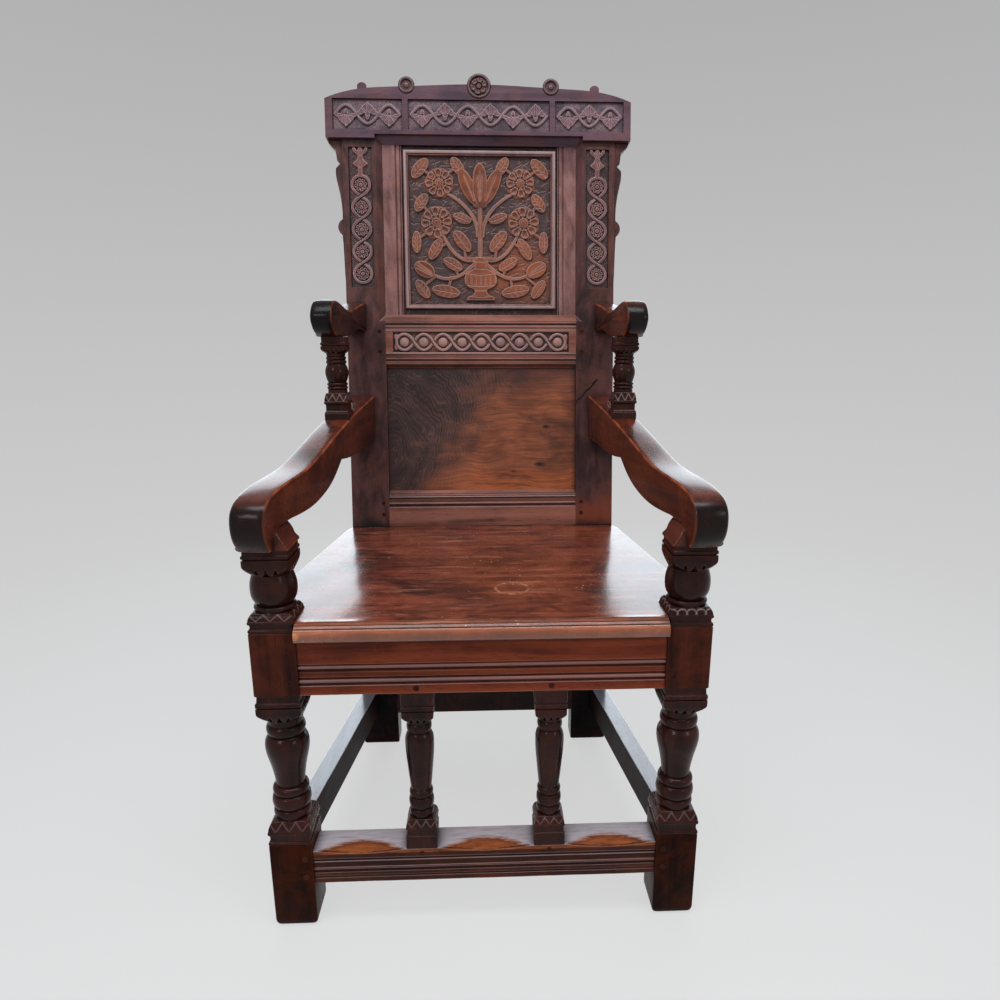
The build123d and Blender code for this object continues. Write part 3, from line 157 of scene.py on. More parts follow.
def build_grain():
    """Oak seen along the grain (local Z): growth bands, fine fibres, open pores, broad patches."""
    tree, given, result = group("oak grain", [("Place", "Vector", None), ("Band Scale", "Float", 1.0)],
                                [("Bands", "Float"), ("Fibre", "Float"), ("Pores", "Float"),
                                 ("Patches", "Float")])
    n = Nodes(tree)
    place = given["Place"]
    sway = n.noise(place, 1.0, 2.0, stretch=(3.0, 3.0, 1.6))
    bent = n.vector("ADD", place, n.vector("MULTIPLY", sway, (0.05, 0.05, 0.0)))
    long = n.vector("MULTIPLY", bent, (1.0, 1.0, 0.028))
    coarse = n.noise(long, 120.0, 4.0, 0.62, 0.25)
    wide = n.noise(bent, 20.0, 2.0, 0.5, 0.3, stretch=(1.0, 1.0, 0.06))
    ripple = n.math("MULTIPLY", wide, given["Band Scale"])
    rings = n.math("PINGPONG", n.math("MULTIPLY", ripple, 8.0), 1.0)
    bands = n.math("ADD", n.math("MULTIPLY", rings, 0.35), n.math("MULTIPLY", coarse, 0.65))
    n.plug(n.span(bands, 0.22, 0.78), result["Bands"])
    n.plug(n.noise(bent, 520.0, 2.0, 0.6, stretch=(1.0, 1.0, 0.03)), result["Fibre"])
    pores = n.noise(bent, 900.0, 1.0, 0.5, stretch=(1.0, 1.0, 0.05))
    n.plug(n.span(pores, 0.60, 0.72), result["Pores"])
    patches = n.noise(place, 7.5, 3.0, 0.6, 0.4)
    n.plug(n.span(patches, 0.34, 0.68), result["Patches"])
    return tree


def build_wear_and_shade():
    """Where hands and dust have been: worn arrises, smears and fine scratches; and painted shade in corners, found by
    ambient occlusion.
    """
    tree, given, result = group("wear_and_shade", [("Place", "Vector", None), ("Arris Width", "Float", 0.0016),
                                        ("Corner Reach", "Float", 0.016)],
                                [("Arris", "Float"), ("Corner", "Float"), ("Smear", "Float"),
                                 ("Scratch", "Float")])
    n = Nodes(tree)
    round_normal = n.add("Bevel", samples=6)
    n.plug(given["Arris Width"], round_normal.inputs["Radius"])
    face = n.add("NewGeometry")
    agree = n.add("VectorMath", operation="DOT_PRODUCT")
    n.plug(round_normal.outputs[0], agree.inputs[0])
    n.plug(face.outputs["True Normal"], agree.inputs[1])
    raw = n.span(n.math("SUBTRACT", 1.0, agree.outputs["Value"]), 0.012, 0.10)
    rub = n.span(n.noise(given["Place"], 34.0, 4.0, 0.65), 0.36, 0.62)
    n.plug(n.math("MULTIPLY", raw, n.math("ADD", n.math("MULTIPLY", rub, 0.8), 0.2)), result["Arris"])
    # ambient occlusion darkens corners: this Corner output is painted shade
    shade = n.add("AmbientOcclusion", samples=6)
    n.plug(given["Corner Reach"], shade.inputs["Distance"])
    n.plug(n.span(shade.outputs["AO"], 0.92, 0.35), result["Corner"])
    n.plug(n.span(n.noise(given["Place"], 13.0, 5.0, 0.7, 0.6), 0.40, 0.66), result["Smear"])
    hair = n.noise(given["Place"], 760.0, 1.0, 0.4, 0.8, stretch=(1.0, 0.10, 0.14))
    n.plug(n.span(hair, 0.70, 0.76), result["Scratch"])
    return tree


GRAIN = build_grain()
WEAR_AND_SHADE = build_wear_and_shade()
UPRIGHT = (0.0, 0.0, 0.0)
ACROSS = (0.0, pi / 2, 0.0)
DEEP = (pi / 2, 0.0, 0.0)
RAKED = (RAKE, 0.0, 0.0)


# pale colour of old wax on edges and in cuts, and of painted highlight on crests
WAX_AND_HIGHLIGHT = (176, 162, 164)
# colour of painted shade in hollows, recesses and corners
PAINTED_SHADE = (17, 11, 11)
# near-black of hand grease on the arm noses, together with a painted dark reflection
GREASE_AND_DARK_REFLECTION = (10, 8, 9)


def oak(name, along, deep, mid, pale, gloss=0.30, coat=0.12, level=0.20, worn=(150, 78, 48), wear=0.75,
        bare=0.35, corner_shade=0.8, figure=1.0, band_scale=1.0, shift=(0, 0, 0), relief=None, bump=0.35, edge=0.8,
        dulled=0.0, marks=None):
    """Waxed oak. along turns the grain to run with the piece, relief gives the two colours of a
    carved ground, dulled is the share of its polish that a greasy nose has lost, and marks adds
    what belongs to one board alone."""
    material = bpy.data.materials.new(name)
    material.use_nodes = True
    tree = material.node_tree
    n = Nodes(tree)
    shader = tree.nodes["Principled BSDF"]
    here = n.add("TexCoord").outputs["Object"]
    turn = n.add("Mapping", vector_type="TEXTURE")
    n.plug(here, turn.inputs["Vector"])
    turn.inputs["Rotation"].default_value = along
    turn.inputs["Location"].default_value = shift
    grain = n.add("Group", node_tree=GRAIN)
    n.plug(turn.outputs[0], grain.inputs["Place"])
    grain.inputs["Band Scale"].default_value = band_scale
    wear_and_shade = n.add("Group", node_tree=WEAR_AND_SHADE)
    n.plug(here, wear_and_shade.inputs["Place"])
    bands, fibre = grain.outputs["Bands"], grain.outputs["Fibre"]
    pores, patches = grain.outputs["Pores"], grain.outputs["Patches"]
    tone = n.mix(patches, colour(*deep), colour(*mid))
    tone = n.stain(tone, bands, 0.62 * figure, pale)
    half_worn = [(a + b) / 2 for a, b in zip(pale, worn)]
    tone = n.stain(tone, wear_and_shade.outputs["Smear"], bare, half_worn)
    tone = n.stain(tone, fibre, 0.35, [c * 0.72 for c in mid])
    tone = n.stain(tone, pores, 0.5, [c * 0.45 for c in deep])
    if relief:
        raised = n.add("Attribute", attribute_name="raised").outputs["Fac"]
        ground = n.mix(fibre, colour(*relief[0]), colour(*relief[1]))
        tone = n.mix(n.math("SUBTRACT", 1.0, raised), tone, ground)
    if marks:
        tone = marks(n, here, tone)
    # hollow darkens recesses as painted shade; edge pales crests as old wax and painted highlight; the arm noses
    # darken as hand grease and painted dark reflection
    for mark, share, paint in (("grimy", 0.95, GREASE_AND_DARK_REFLECTION), ("hollow", 0.9, PAINTED_SHADE),
                               ("rubbed", 0.85, worn), ("edge", edge, WAX_AND_HIGHLIGHT)):
        tone = n.stain(tone, n.add("Attribute", attribute_name=mark).outputs["Fac"], share, paint)
    tone = n.stain(tone, wear_and_shade.outputs["Arris"], wear, worn)
    # corners found by ambient occlusion are darkened as painted shade
    shaded_corners = n.math("MULTIPLY", wear_and_shade.outputs["Corner"], corner_shade)
    tone = n.mix(shaded_corners, tone, colour(*PAINTED_SHADE))
    n.plug(tone, shader.inputs["Base Color"])
    rough = n.math("ADD", gloss, n.math("MULTIPLY", wear_and_shade.outputs["Smear"], 0.10))
    rough = n.math("ADD", rough, n.math("MULTIPLY", fibre, 0.06))
    rough = n.math("ADD", rough, n.math("MULTIPLY", shaded_corners, 0.3))
    n.plug(n.math("ADD", rough, n.math("MULTIPLY", wear_and_shade.outputs["Scratch"], 0.18), clamp=True),
           shader.inputs["Roughness"])
    height = n.math("SUBTRACT", n.math("MULTIPLY", fibre, 0.5), pores)
    height = n.math("ADD", height, n.math("MULTIPLY", bands, 0.6))
    relief_of_grain = n.add("Bump")
    relief_of_grain.inputs["Strength"].default_value = bump
    relief_of_grain.inputs["Distance"].default_value = 0.0004
    n.plug(height, relief_of_grain.inputs["Height"])
    n.plug(relief_of_grain.outputs[0], shader.inputs["Normal"])
    shader.inputs["Specular IOR Level"].default_value = level
    shader.inputs["Coat Weight"].default_value = coat
    shader.inputs["Coat Roughness"].default_value = 0.16
    if dulled:
        grease = n.add("Attribute", attribute_name="grimy").outputs["Fac"]
        clean = n.math("SUBTRACT", 1.0, n.math("MULTIPLY", grease, dulled))
        n.plug(n.math("MULTIPLY", clean, coat), shader.inputs["Coat Weight"])
    return material


def bent_grain(n, here):
    """Places with a slow up and down drift, so that grain wanders over a board."""
    drift = n.noise(here, 7.0, 2.0, stretch=(1.0, 1.0, 0.6))
    return n.vector("ADD", here, n.vector("MULTIPLY", drift, (0.0, 0.0, 0.05)))


def lower_board(n, here, tone):
    """Dark swirling figure on the left of the board, warm wood on its right, and two knots."""
    sway = n.noise(here, 9.0, 4.0, 0.62, 0.6)
    parts = n.parts(here)
    edge = n.math("ADD", parts["X"], n.math("MULTIPLY", parts["Z"], -0.42))
    edge = n.math("ADD", edge, n.math("MULTIPLY", sway, 0.20))
    dark = n.span(edge, -0.125, -0.255)
    far = n.distance(here, (-0.175, 0.0, 0.610), (1.0, 0.0, 0.62))
    bent = n.math("ADD", far, n.math("MULTIPLY", sway, 0.075))
    swirl = n.span(n.math("PINGPONG", n.math("MULTIPLY", bent, 330.0), 1.0), 0.35, 1.0)
    broad = n.math("PINGPONG", n.math("MULTIPLY", bent, 62.0), 1.0)
    fine = n.noise(bent_grain(n, here), 13.0, 4.0, 0.6, 0.2, stretch=(1.0, 1.0, 34.0))
    streak = n.noise(bent_grain(n, here), 12.0, 6.0, 0.72, 0.3, stretch=(1.0, 1.0, 15.0))
    cloud = n.noise(here, 12.0, 4.0, 0.6, 0.4, stretch=(1.0, 1.0, 1.8))
    warm = n.mix(n.span(cloud, 0.34, 0.68), tone, colour(171, 97, 63))
    warm = n.stain(warm, n.span(streak, 0.60, 0.36), 0.5, (92, 50, 36))
    warm = n.stain(warm, n.span(fine, 0.50, 0.34), 0.55, (84, 46, 34))
    warm = n.stain(warm, n.span(cloud, 0.44, 0.28), 0.55, (72, 44, 38))
    low = n.math("MULTIPLY", n.span(parts["Z"], 0.600, 0.545), n.span(streak, 0.35, 0.6))
    warm = n.stain(warm, low, 0.6, (196, 100, 46))
    warm = n.stain(warm, n.span(parts["Z"], 0.700, 0.775), 0.72, (68, 42, 42))
    smoky = n.stain(colour(34, 25, 27), broad, 0.45, (76, 54, 52))
    smoky = n.stain(smoky, swirl, n.span(cloud, 0.36, 0.62, 0.12, 0.5), (112, 84, 76))
    smoky = n.stain(smoky, n.span(cloud, 0.50, 0.72), 0.8, (98, 62, 50))
    tone = n.mix(n.math("MULTIPLY", dark, 0.94), warm, smoky)
    for x, z, wide in ((0.112, 0.588, 0.013), (0.124, 0.660, 0.007), (0.060, 0.575, 0.005)):
        knot = n.distance(here, (x, 0.0, z), (1.0, 0.0, 2.2))
        ragged = n.math("ADD", knot, n.math("MULTIPLY", n.noise(here, 90.0, 2.0), 0.008))
        tone = n.mix(n.span(ragged, wide + 0.008, wide * 0.5), tone, colour(34, 22, 20))
    return tone


def seat_marks(n, here, tone):
    """Pale ring left on the seat, specks of old paint, and a chip at the front left corner."""
    ring = n.distance(here, (0.042, -0.190, 0.0), (1.0, 1.0, 0.0))
    off = n.math("ABSOLUTE", n.math("SUBTRACT", ring, 0.024))
    broken = n.span(n.noise(here, 60.0, 2.0), 0.38, 0.60)
    tone = n.stain(tone, n.span(off, 0.0030, 0.0008), n.math("MULTIPLY", broken, 0.8), (204, 146, 110))
    blotch = n.noise(here, 8.0, 4.0, 0.66, 0.7, stretch=(1.0, 1.7, 1.0))
    tone = n.stain(tone, n.span(blotch, 0.48, 0.66), 0.75, (40, 18, 16))
    streak = n.noise(here, 9.0, 5.0, 0.7, 0.3, stretch=(1.0, 8.0, 1.0))
    tone = n.stain(tone, n.span(streak, 0.53, 0.72), 0.6, (190, 124, 96))
    cells = n.add("TexVoronoi")
    n.plug(here, cells.inputs["Vector"])
    cells.inputs["Scale"].default_value = 85.0
    speck = n.span(cells.outputs["Distance"], 0.12, 0.07)
    where = n.span(n.noise(here, 7.0, 3.0), 0.52, 0.62)
    tone = n.stain(tone, speck, where, (205, 192, 186))
    chip = n.math("ADD", n.distance(here, (-0.246, -0.322, 0.457), (0.55, 1.0, 1.0)),
                  n.math("MULTIPLY", n.noise(here, 160.0, 2.0), 0.004))
    return n.mix(n.span(chip, 0.0085, 0.0065), tone, colour(214, 138, 84))


def feet_wear_and_sky_sheen(n, here, tone):
    """Top of the stretcher where feet have rested: bare warm wood, then a pale blue-grey painted sky reflection
    towards the back.
    """
    parts = n.parts(here)
    grain_here = n.noise(here, 6.0, 4.0, 0.7, stretch=(6.0, 40.0, 40.0))
    high = n.math("ADD", parts["Z"], n.math("MULTIPLY", n.math("SUBTRACT", grain_here, 0.5), 0.004))
    warm = n.mix(n.span(grain_here, 0.1, 0.9), colour(98, 50, 28), colour(184, 102, 56))
    tone = n.mix(n.math("MULTIPLY", n.span(high, 0.1172, 0.1190), 0.85), tone, warm)
    line = n.span(n.math("ABSOLUTE", n.math("SUBTRACT", high, 0.1218)), 0.0008, 0.0002)
    tone = n.stain(tone, line, 0.5, (60, 36, 30))
    # the pale blue-grey on the top is painted sky reflection
    return n.stain(tone, n.span(high, 0.1219, 0.1243), 0.7, (180, 184, 194))


def warm_ground(n, here, tone):
    """Warmer wood low on the right of the carved panel."""
    far = n.distance(here, (0.07, 0.0, 0.945), (1.0, 0.0, 1.6))
    fleck = n.noise(here, 14.0, 4.0, stretch=(1.0, 1.0, 3.0))
    ragged = n.math("ADD", far, n.math("MULTIPLY", fleck, 0.09))
    return n.stain(tone, n.span(ragged, 0.17, 0.07), 0.7, (158, 84, 46))


def dark_below(n, here, tone):
    """Back legs darkened below the seat as painted shade, the shade under the seat."""
    parts = n.parts(here)
    fleck = n.math("SUBTRACT", n.noise(here, 18.0, 4.0), 0.5)
    ragged = n.math("ADD", parts["Z"], n.math("MULTIPLY", fleck, 0.05))
    return n.stain(tone, n.span(ragged, 0.494, 0.466), 0.88, (13, 9, 11))


def stile_crack(n, here, tone):
    """Ragged shake that runs slantwise over the stile."""
    away = n.add("VectorMath", operation="DOT_PRODUCT")
    along = n.add("VectorMath", operation="DOT_PRODUCT")
    from_end = n.vector("SUBTRACT", here, (0.179, 0.0, 0.7033))
    n.plug(from_end, away.inputs[0])
    n.plug(from_end, along.inputs[0])
    away.inputs[1].default_value = (0.738, 0.0, -0.674)
    along.inputs[1].default_value = (0.674, 0.0, 0.738)
    fleck = n.math("SUBTRACT", n.noise(here, 90.0, 3.0), 0.5)
    off = n.math("ADD", away.outputs["Value"], n.math("MULTIPLY", fleck, 0.010))
    line = n.span(n.math("ABSOLUTE", off), 0.0026, 0.0013)
    length = n.math("MULTIPLY", n.span(along.outputs["Value"], -0.004, 0.0),
                    n.span(along.outputs["Value"], 0.066, 0.060))
    cloud = n.noise(here, 24.0, 4.0, stretch=(1.0, 1.0, 0.5))
    ragged = n.math("ADD", n.parts(here)["Z"], n.math("MULTIPLY", cloud, 0.10))
    tone = n.stain(tone, n.span(ragged, 0.60, 0.55), 0.7, (134, 62, 38))
    smoke = n.math("ABSOLUTE", n.math("SUBTRACT", ragged, 0.665))
    tone = n.stain(tone, n.span(smoke, 0.040, 0.012), 0.6, (26, 14, 13))
    return dark_below(n, here, n.stain(tone, line, length, (10, 8, 8)))


TURNED = ((20, 9, 8), (40, 17, 14), (68, 31, 24))
STILE = ((34, 22, 24), (68, 43, 44), (116, 75, 72))
# both stiles darken below the seat as painted shade (dark_below)
stile_oak = oak("oak of the left stile", RAKED, *STILE, marks=dark_below)
cracked_oak = oak("oak of the right stile", RAKED, *STILE, shift=(0.2, 0, 0.3), marks=stile_crack)
# back legs below the seat: oak painted nearly black as shade
shaded_oak = oak("oak of the back legs painted dark as shade", UPRIGHT, (7, 6, 9), (12, 9, 12), (20, 13, 15), level=0.04, coat=0.02)
rear_oak = oak("oak of the rear rails", ACROSS, (18, 10, 10), (30, 16, 15), (44, 24, 21), level=0.1, coat=0.05)
block_oak = oak("oak of the posts", UPRIGHT, (24, 10, 7), (60, 26, 19), (98, 46, 31), shift=(0.3, 0, 0),
                worn=(150, 70, 34), level=0.08, coat=0.03)
foot_oak = oak("oak of the feet", UPRIGHT, (10, 3, 2), (29, 10, 5), (62, 25, 13), shift=(0.3, 0, 0),
               worn=(140, 62, 28), level=0.05, coat=0.02)
turned_oak = oak("oak turned work", UPRIGHT, *TURNED, gloss=0.17, coat=0.24, level=0.05, corner_shade=0.9,
                 worn=(116, 60, 40))
rail_oak = oak("oak of the front rails", ACROSS, (70, 27, 18), (124, 53, 34), (168, 80, 50), shift=(0, 0.2, 0),
               level=0.1, coat=0.04, figure=1.2)
stretcher_oak = oak("oak of the front stretcher", ACROSS, (40, 18, 13), (70, 34, 24), (104, 54, 38),
                    shift=(0.3, 0.2, 0), level=0.1, coat=0.05, marks=feet_wear_and_sky_sheen)
back_rail_oak = oak("oak of the back rails", ACROSS, (82, 48, 43), (136, 83, 71), (172, 112, 96), shift=(0.1, 0, 0),
                    level=0.14, coat=0.08, figure=1.3)
# the crest's mauve-blue cast is painted sky sheen
crest_oak = oak("oak of the crest", ACROSS, (66, 48, 62), (100, 76, 92), (124, 94, 106), gloss=0.4, level=0.16)
# side rail tops: the pale blue-grey colours are painted sky reflection
side_tops_painted_sheen = oak("oak of the side rails", DEEP, (98, 101, 110), (126, 130, 140), (156, 160, 170), gloss=0.15,
               coat=1.0, level=0.9, bump=0.12, corner_shade=0.3)
# the other faces of the side rails: painted dark as shade
side_faces_painted_shade = oak("side rail faces painted dark as shade", DEEP, (10, 8, 11), (22, 16, 19), (40, 25, 24), gloss=0.4,
                coat=0.0, level=0.05, wear=0.4)
arm_oak = oak("oak of the arms", DEEP, (34, 14, 12), (72, 31, 24), (114, 52, 36), gloss=0.17, coat=0.4, level=0.14,
              worn=(178, 90, 52), shift=(0, 0.1, 0.4), dulled=0.85)
dark_arm_oak = oak("oak of the left short arm", DEEP, (22, 11, 12), (36, 19, 20), (54, 30, 28), gloss=0.17, coat=0.25,
                   level=0.14, worn=(170, 84, 44), shift=(0.2, 0.1, 0.1), dulled=1.0)
seat_oak = oak("oak of the seat", ACROSS, (38, 13, 11), (98, 44, 32), (160, 80, 58), gloss=0.15, coat=0.9, level=0.35,
               wear=0.6, bump=0.2, shift=(0.2, 0.3, 0), worn=(210, 116, 66), figure=1.15, marks=seat_marks)
panel_oak = oak("oak of the lower panel", ACROSS, (74, 36, 25), (120, 64, 43), (150, 84, 55), gloss=0.26,
                coat=0.3, band_scale=2.4, marks=lower_board)
moulding_oak = oak("oak of the mouldings", RAKED, (80, 53, 52), (142, 99, 97), (184, 137, 132), gloss=0.26,
                   coat=0.2, edge=0.7)
peg_oak = oak("oak of the pegs", UPRIGHT, (34, 14, 10), (54, 24, 16), (74, 34, 22), level=0.08, coat=0.0, wear=0.3)
carved_oak = oak("carved oak of the panel", ACROSS, (70, 32, 20), (122, 60, 36), (158, 84, 54), gloss=0.24, coat=0.25,
                 edge=0.5, worn=(190, 118, 84), relief=((46, 32, 35), (96, 73, 74)), marks=warm_ground)
stile_carving = oak("carved oak of the stiles", RAKED, (84, 42, 41), (124, 68, 66), (158, 98, 94), gloss=0.2,
                    coat=0.3, level=0.2, edge=0.5, worn=(176, 126, 118), relief=((20, 14, 17), (64, 51, 57)))
band_carving = oak("carved oak of the mid rail", ACROSS, (96, 51, 46), (148, 86, 78), (180, 118, 107), gloss=0.2,
                   coat=0.3, level=0.2, edge=0.65, worn=(204, 146, 126), relief=((38, 23, 22), (80, 52, 48)))
# the mauve-blue cast of the carving and its ground is painted sky sheen
crest_carving = oak("carved oak of the crest", ACROSS, (88, 54, 64), (126, 82, 94), (154, 106, 116), gloss=0.24,
                    coat=0.3, level=0.2, edge=0.6, worn=(176, 138, 146), relief=((28, 22, 29), (76, 66, 82)))
roundel_oak = oak("oak of the roundels", ACROSS, (62, 38, 44), (92, 60, 68), (114, 80, 86), gloss=0.22, coat=0.4,
                  level=0.25, edge=0.15)


# ================================ shaping =========================================================
def finish_piece(name, points, faces, material, marks=None, smooth=32.0, rides=True):
    """Mesh object from millimetre points; marks are named values at its points."""
    mesh = bpy.data.meshes.new(name)
    mesh.from_pydata((np.asarray(points, float) * MM).tolist(), [], faces)
    mesh.validate()
    mesh.update()
    for mark, values in (marks or {}).items():
        layer = mesh.attributes.new(mark, "FLOAT", "POINT")
        layer.data.foreach_set("value", np.asarray(values, np.float32).ravel())
    mesh.materials.append(material)
    mesh.polygons.foreach_set("use_smooth", [True] * len(mesh.polygons))
    mesh.set_sharp_from_angle(angle=radians(smooth))
    piece = bpy.data.objects.new(name, mesh)
    bpy.context.scene.collection.objects.link(piece)
    if rides:
        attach(piece, "root")
    return piece


def ease_edges(piece, width, segments=2, angle=35.0):
    """Softens a piece's arrises."""
    bevel = piece.modifiers.new("eased arrises", "BEVEL")
    bevel.width = width * MM
    bevel.segments = segments
    bevel.limit_method = "ANGLE"
    bevel.angle_limit = radians(angle)
    bevel.harden_normals = False
    return piece


def eased(outline, reach=0.8, steps=3):
    """An outline with each corner turned into a small curve."""
    points = [np.array(p, float) for p in outline]
    made = [points[0]]
    for before, corner, after in zip(points, points[1:], points[2:]):
        to_before, to_after = before - corner, after - corner
        run_in, run_out = np.linalg.norm(to_before), np.linalg.norm(to_after)
        if min(run_in, run_out) < 1e-6:
            made.append(corner)
            continue
        bend = np.dot(to_before, to_after) / (run_in * run_out)
        if bend < -0.93:
            made.append(corner)
            continue
        cut = min(reach, 0.42 * run_in, 0.42 * run_out)
        start, end = corner + to_before / run_in * cut, corner + to_after / run_out * cut
        for k in range(steps + 1):
            t = k / steps
            made.append((1 - t) ** 2 * start + 2 * t * (1 - t) * corner + t ** 2 * end)
    made.append(points[-1])
    return made


def curve(points, count=10):
    """Smooth line through points, even where they are unevenly spaced."""
    p = np.array(points, float)
    knots = np.concatenate([[0], np.cumsum(np.linalg.norm(np.diff(p, axis=0), axis=1))])
    size = len(p)
    matrix = np.zeros((size, size))
    right = np.zeros((size, p.shape[1]))
    matrix[0, 0] = matrix[-1, -1] = 1.0
    gaps = np.diff(knots)
    for i in range(1, size - 1):
        matrix[i, i - 1:i + 2] = gaps[i - 1], 2 * (gaps[i - 1] + gaps[i]), gaps[i]
        right[i] = 6 * ((p[i + 1] - p[i]) / gaps[i] - (p[i] - p[i - 1]) / gaps[i - 1])
    bend = np.linalg.solve(matrix, right)
    made = []
    for i in range(size - 1):
        for t in np.linspace(0, 1, count, endpoint=False):
            a, b = knots[i + 1] - (knots[i] + t * gaps[i]), t * gaps[i]
            made.append((bend[i] * a ** 3 + bend[i + 1] * b ** 3) / (6 * gaps[i])
                        + (p[i] / gaps[i] - bend[i] * gaps[i] / 6) * a
                        + (p[i + 1] / gaps[i] - bend[i + 1] * gaps[i] / 6) * b)
    return made + [p[-1]]


def bulge(start, end, swell, steps=10):
    """Arc between two (radius, height) points that stands swell beyond the straight line."""
    a, b = np.array(start, float), np.array(end, float)
    along = b - a
    out = np.array((along[1], -along[0])) / np.linalg.norm(along)
    made = []
    for k in range(steps + 1):
        t = k / steps
        made.append(a + along * t + out * swell * (1 - (2 * t - 1) ** 2) ** 0.62)
    return made


# edge: old wax and painted highlight; hollow: painted shade; rubbed: wear; the last: hand grease and painted dark
# reflection on the arm noses
MARKS = ("edge", "hollow", "rubbed", "grimy")


class Shape:
    """Collects turned and squared work into one mesh, with marks at each point: wear, old wax, hand grease, painted
    highlight, painted shade and painted dark reflection.
    """

    def __init__(self):
        self.points = []
        self.faces = []
        self.marks = {mark: [] for mark in MARKS}

    def rings(self, loops, **marks):
        """Skin over a stack of closed loops, capped at both ends."""
        start = len(self.points)
        count = len(loops[0])
        for loop in loops:
            self.points.extend(loop)
        for mark in MARKS:
            rows = marks.get(mark) or [[0.0] * count] * len(loops)
            for row in rows:
                self.marks[mark].extend(row)
        for row in range(len(loops) - 1):
            low, high = start + row * count, start + (row + 1) * count
            for k in range(count):
                after = (k + 1) % count
                self.faces.append((low + k, low + after, high + after, high + k))
        self.faces.append(tuple(start + k for k in reversed(range(count))))
        top = start + (len(loops) - 1) * count
        self.faces.append(tuple(top + k for k in range(count)))

    def turned(self, x, y, outline, segments=72):
        """Lathe work from (radius, height) points."""
        angles = np.linspace(0, 2 * pi, segments, endpoint=False)
        ring = np.stack([np.cos(angles), np.sin(angles)], axis=1)
        loops = []
        for radius, z in outline:
            loops.append(np.column_stack([x + ring[:, 0] * radius, y + ring[:, 1] * radius,
                                          np.full(segments, z)]))
        self.rings(loops)

    def squared(self, x, y, outline, corner=1.2, per_side=1, carve=None, round_points=3):
        """Square work from (half width, height) points, or (half width, height, corner) ones.
        carve(u, z) gives (how deep, how pale, how dark) at a place u along a side; pale stands for old wax and
        painted highlight, dark for painted shade."""
        loops, pale, dark = [], [], []
        for half, z, *own in outline:
            radius = own[0] if own else corner
            loop, light, shade = [], [], []
            flat = half - radius
            for side in range(4):
                c, s = cos(side * pi / 2), sin(side * pi / 2)
                for k in range(per_side + 1):
                    u = -flat + 2 * flat * k / per_side
                    deep, light_here, dark_here = carve(u, z) if carve else (0.0, 0.0, 0.0)
                    px, py = u, -half + deep
                    loop.append((x + px * c - py * s, y + px * s + py * c, z))
                    light.append(light_here)
                    shade.append(dark_here)
                for k in range(1, round_points):
                    angle = -pi / 2 + pi / 2 * k / round_points
                    px, py = flat + radius * cos(angle), -flat + radius * sin(angle)
                    loop.append((x + px * c - py * s, y + px * s + py * c, z))
                    light.append(0.0)
                    shade.append(0.0)
            loops.append(loop)
            pale.append(light)
            dark.append(shade)
        self.rings(loops, edge=pale, hollow=dark)

    def piece(self, name, material, smooth=32.0):
        return finish_piece(name, self.points, self.faces, material, self.marks, smooth)


def welded(piece):
    """Joins points that lie on each other, which takes out faces of no size."""
    work = bmesh.new()
    work.from_mesh(piece.data)
    bmesh.ops.remove_doubles(work, verts=work.verts, dist=0.00001)
    work.to_mesh(piece.data)
    work.free()
    piece.data.set_sharp_from_angle(angle=radians(38.0))
    return piece


def mirrored(piece, name, *replaced):
    """The same work for the other side of the chair."""
    mesh = piece.data.copy()
    mesh.name = name
    mesh.transform(Matrix.Diagonal((-1, 1, 1, 1)))
    mesh.flip_normals()
    twin = bpy.data.objects.new(name, mesh)
    bpy.context.scene.collection.objects.link(twin)
    for modifier in piece.modifiers:
        if modifier.type == "BEVEL":
            ease_edges(twin, modifier.width / MM, modifier.segments)
    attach(twin, "root")
    if replaced:
        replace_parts(twin, *replaced)
    return twin


def dressed(node, material, ease):
    """A joiner's piece kept as it is, with eased arrises and its finish."""
    piece = NODES[node]
    piece.data.materials.clear()
    piece.data.materials.append(material)
    weld = piece.modifiers.new("weld", "WELD")
    weld.merge_threshold = 0.00002
    flat = piece.modifiers.new("flat faces", "DECIMATE")
    flat.decimate_type = "DISSOLVE"
    flat.angle_limit = radians(1.5)
    ease_edges(piece, ease)
    return piece


# ---- carved ornament on turned and squared work --------------------------------------------------
def tongues(low, high, step):
    """Row of hanging tongues under a capital, parted by notches painted dark as shade, with a pale rim of old wax and
    painted highlight.
    """
    radius, drop = step / 2, high - low

    def carve(u, z):
        v = (u / step - np.floor(u / step) - 0.5) * step
        foot = low + 0.8 + 0.55 * drop * min(abs(v / radius), 1.0) ** 2.0
        inside = min(max((z - foot) / 1.3 + 0.5, 0.0), 1.0)
        bulge_out = 0.9 * (v / radius) ** 2 * (1 - (z - low) / drop)
        rim = 1.0 - min(abs(z - foot - 1.2) / 1.0, 1.0)
        return 2.8 * (1 - inside) + bulge_out, 0.4 * rim, 0.9 * (1 - inside)
    return carve


def zigzags(low, high, step, pale=0.55):
    """Scratched row of Vs with pale old wax in the cuts, and painted shade in them where the wax is thin; one stands
    at the middle.
    """
    def carve(u, z):
        t = (z - low) / (high - low)
        phase = abs((u / step + 0.5) % 1.0 * 2 - 1)
        off = abs(phase - (0.03 + 0.94 * t)) * step / 2 * 0.8
        cut = max(0.0, 1 - off / 1.1)
        return 0.9 * cut, pale * min(1.0, cut * 1.5), (0.8 - pale) * cut if pale < 0.8 else 0.0
    return carve


def lunettes(low, high, step):
    """Row of half-round cuts that run into each other, pale with old wax, with a little painted shade in the cuts."""
    def carve(u, z):
        best = 9.0
        for k in range(-4, 5):
            best = min(best, abs(sqrt((u - k * step) ** 2 + ((z - low) * 1.05) ** 2) - (high - low) * 0.94))
        cut = max(0.0, 1 - best / 1.1)
        return 0.8 * cut, 0.6 * min(1.0, cut * 1.5), 0.25 * cut
    return carve


def steps_between(low, high, count):
    return [low + (high - low) * k / count for k in range(count + 1)]


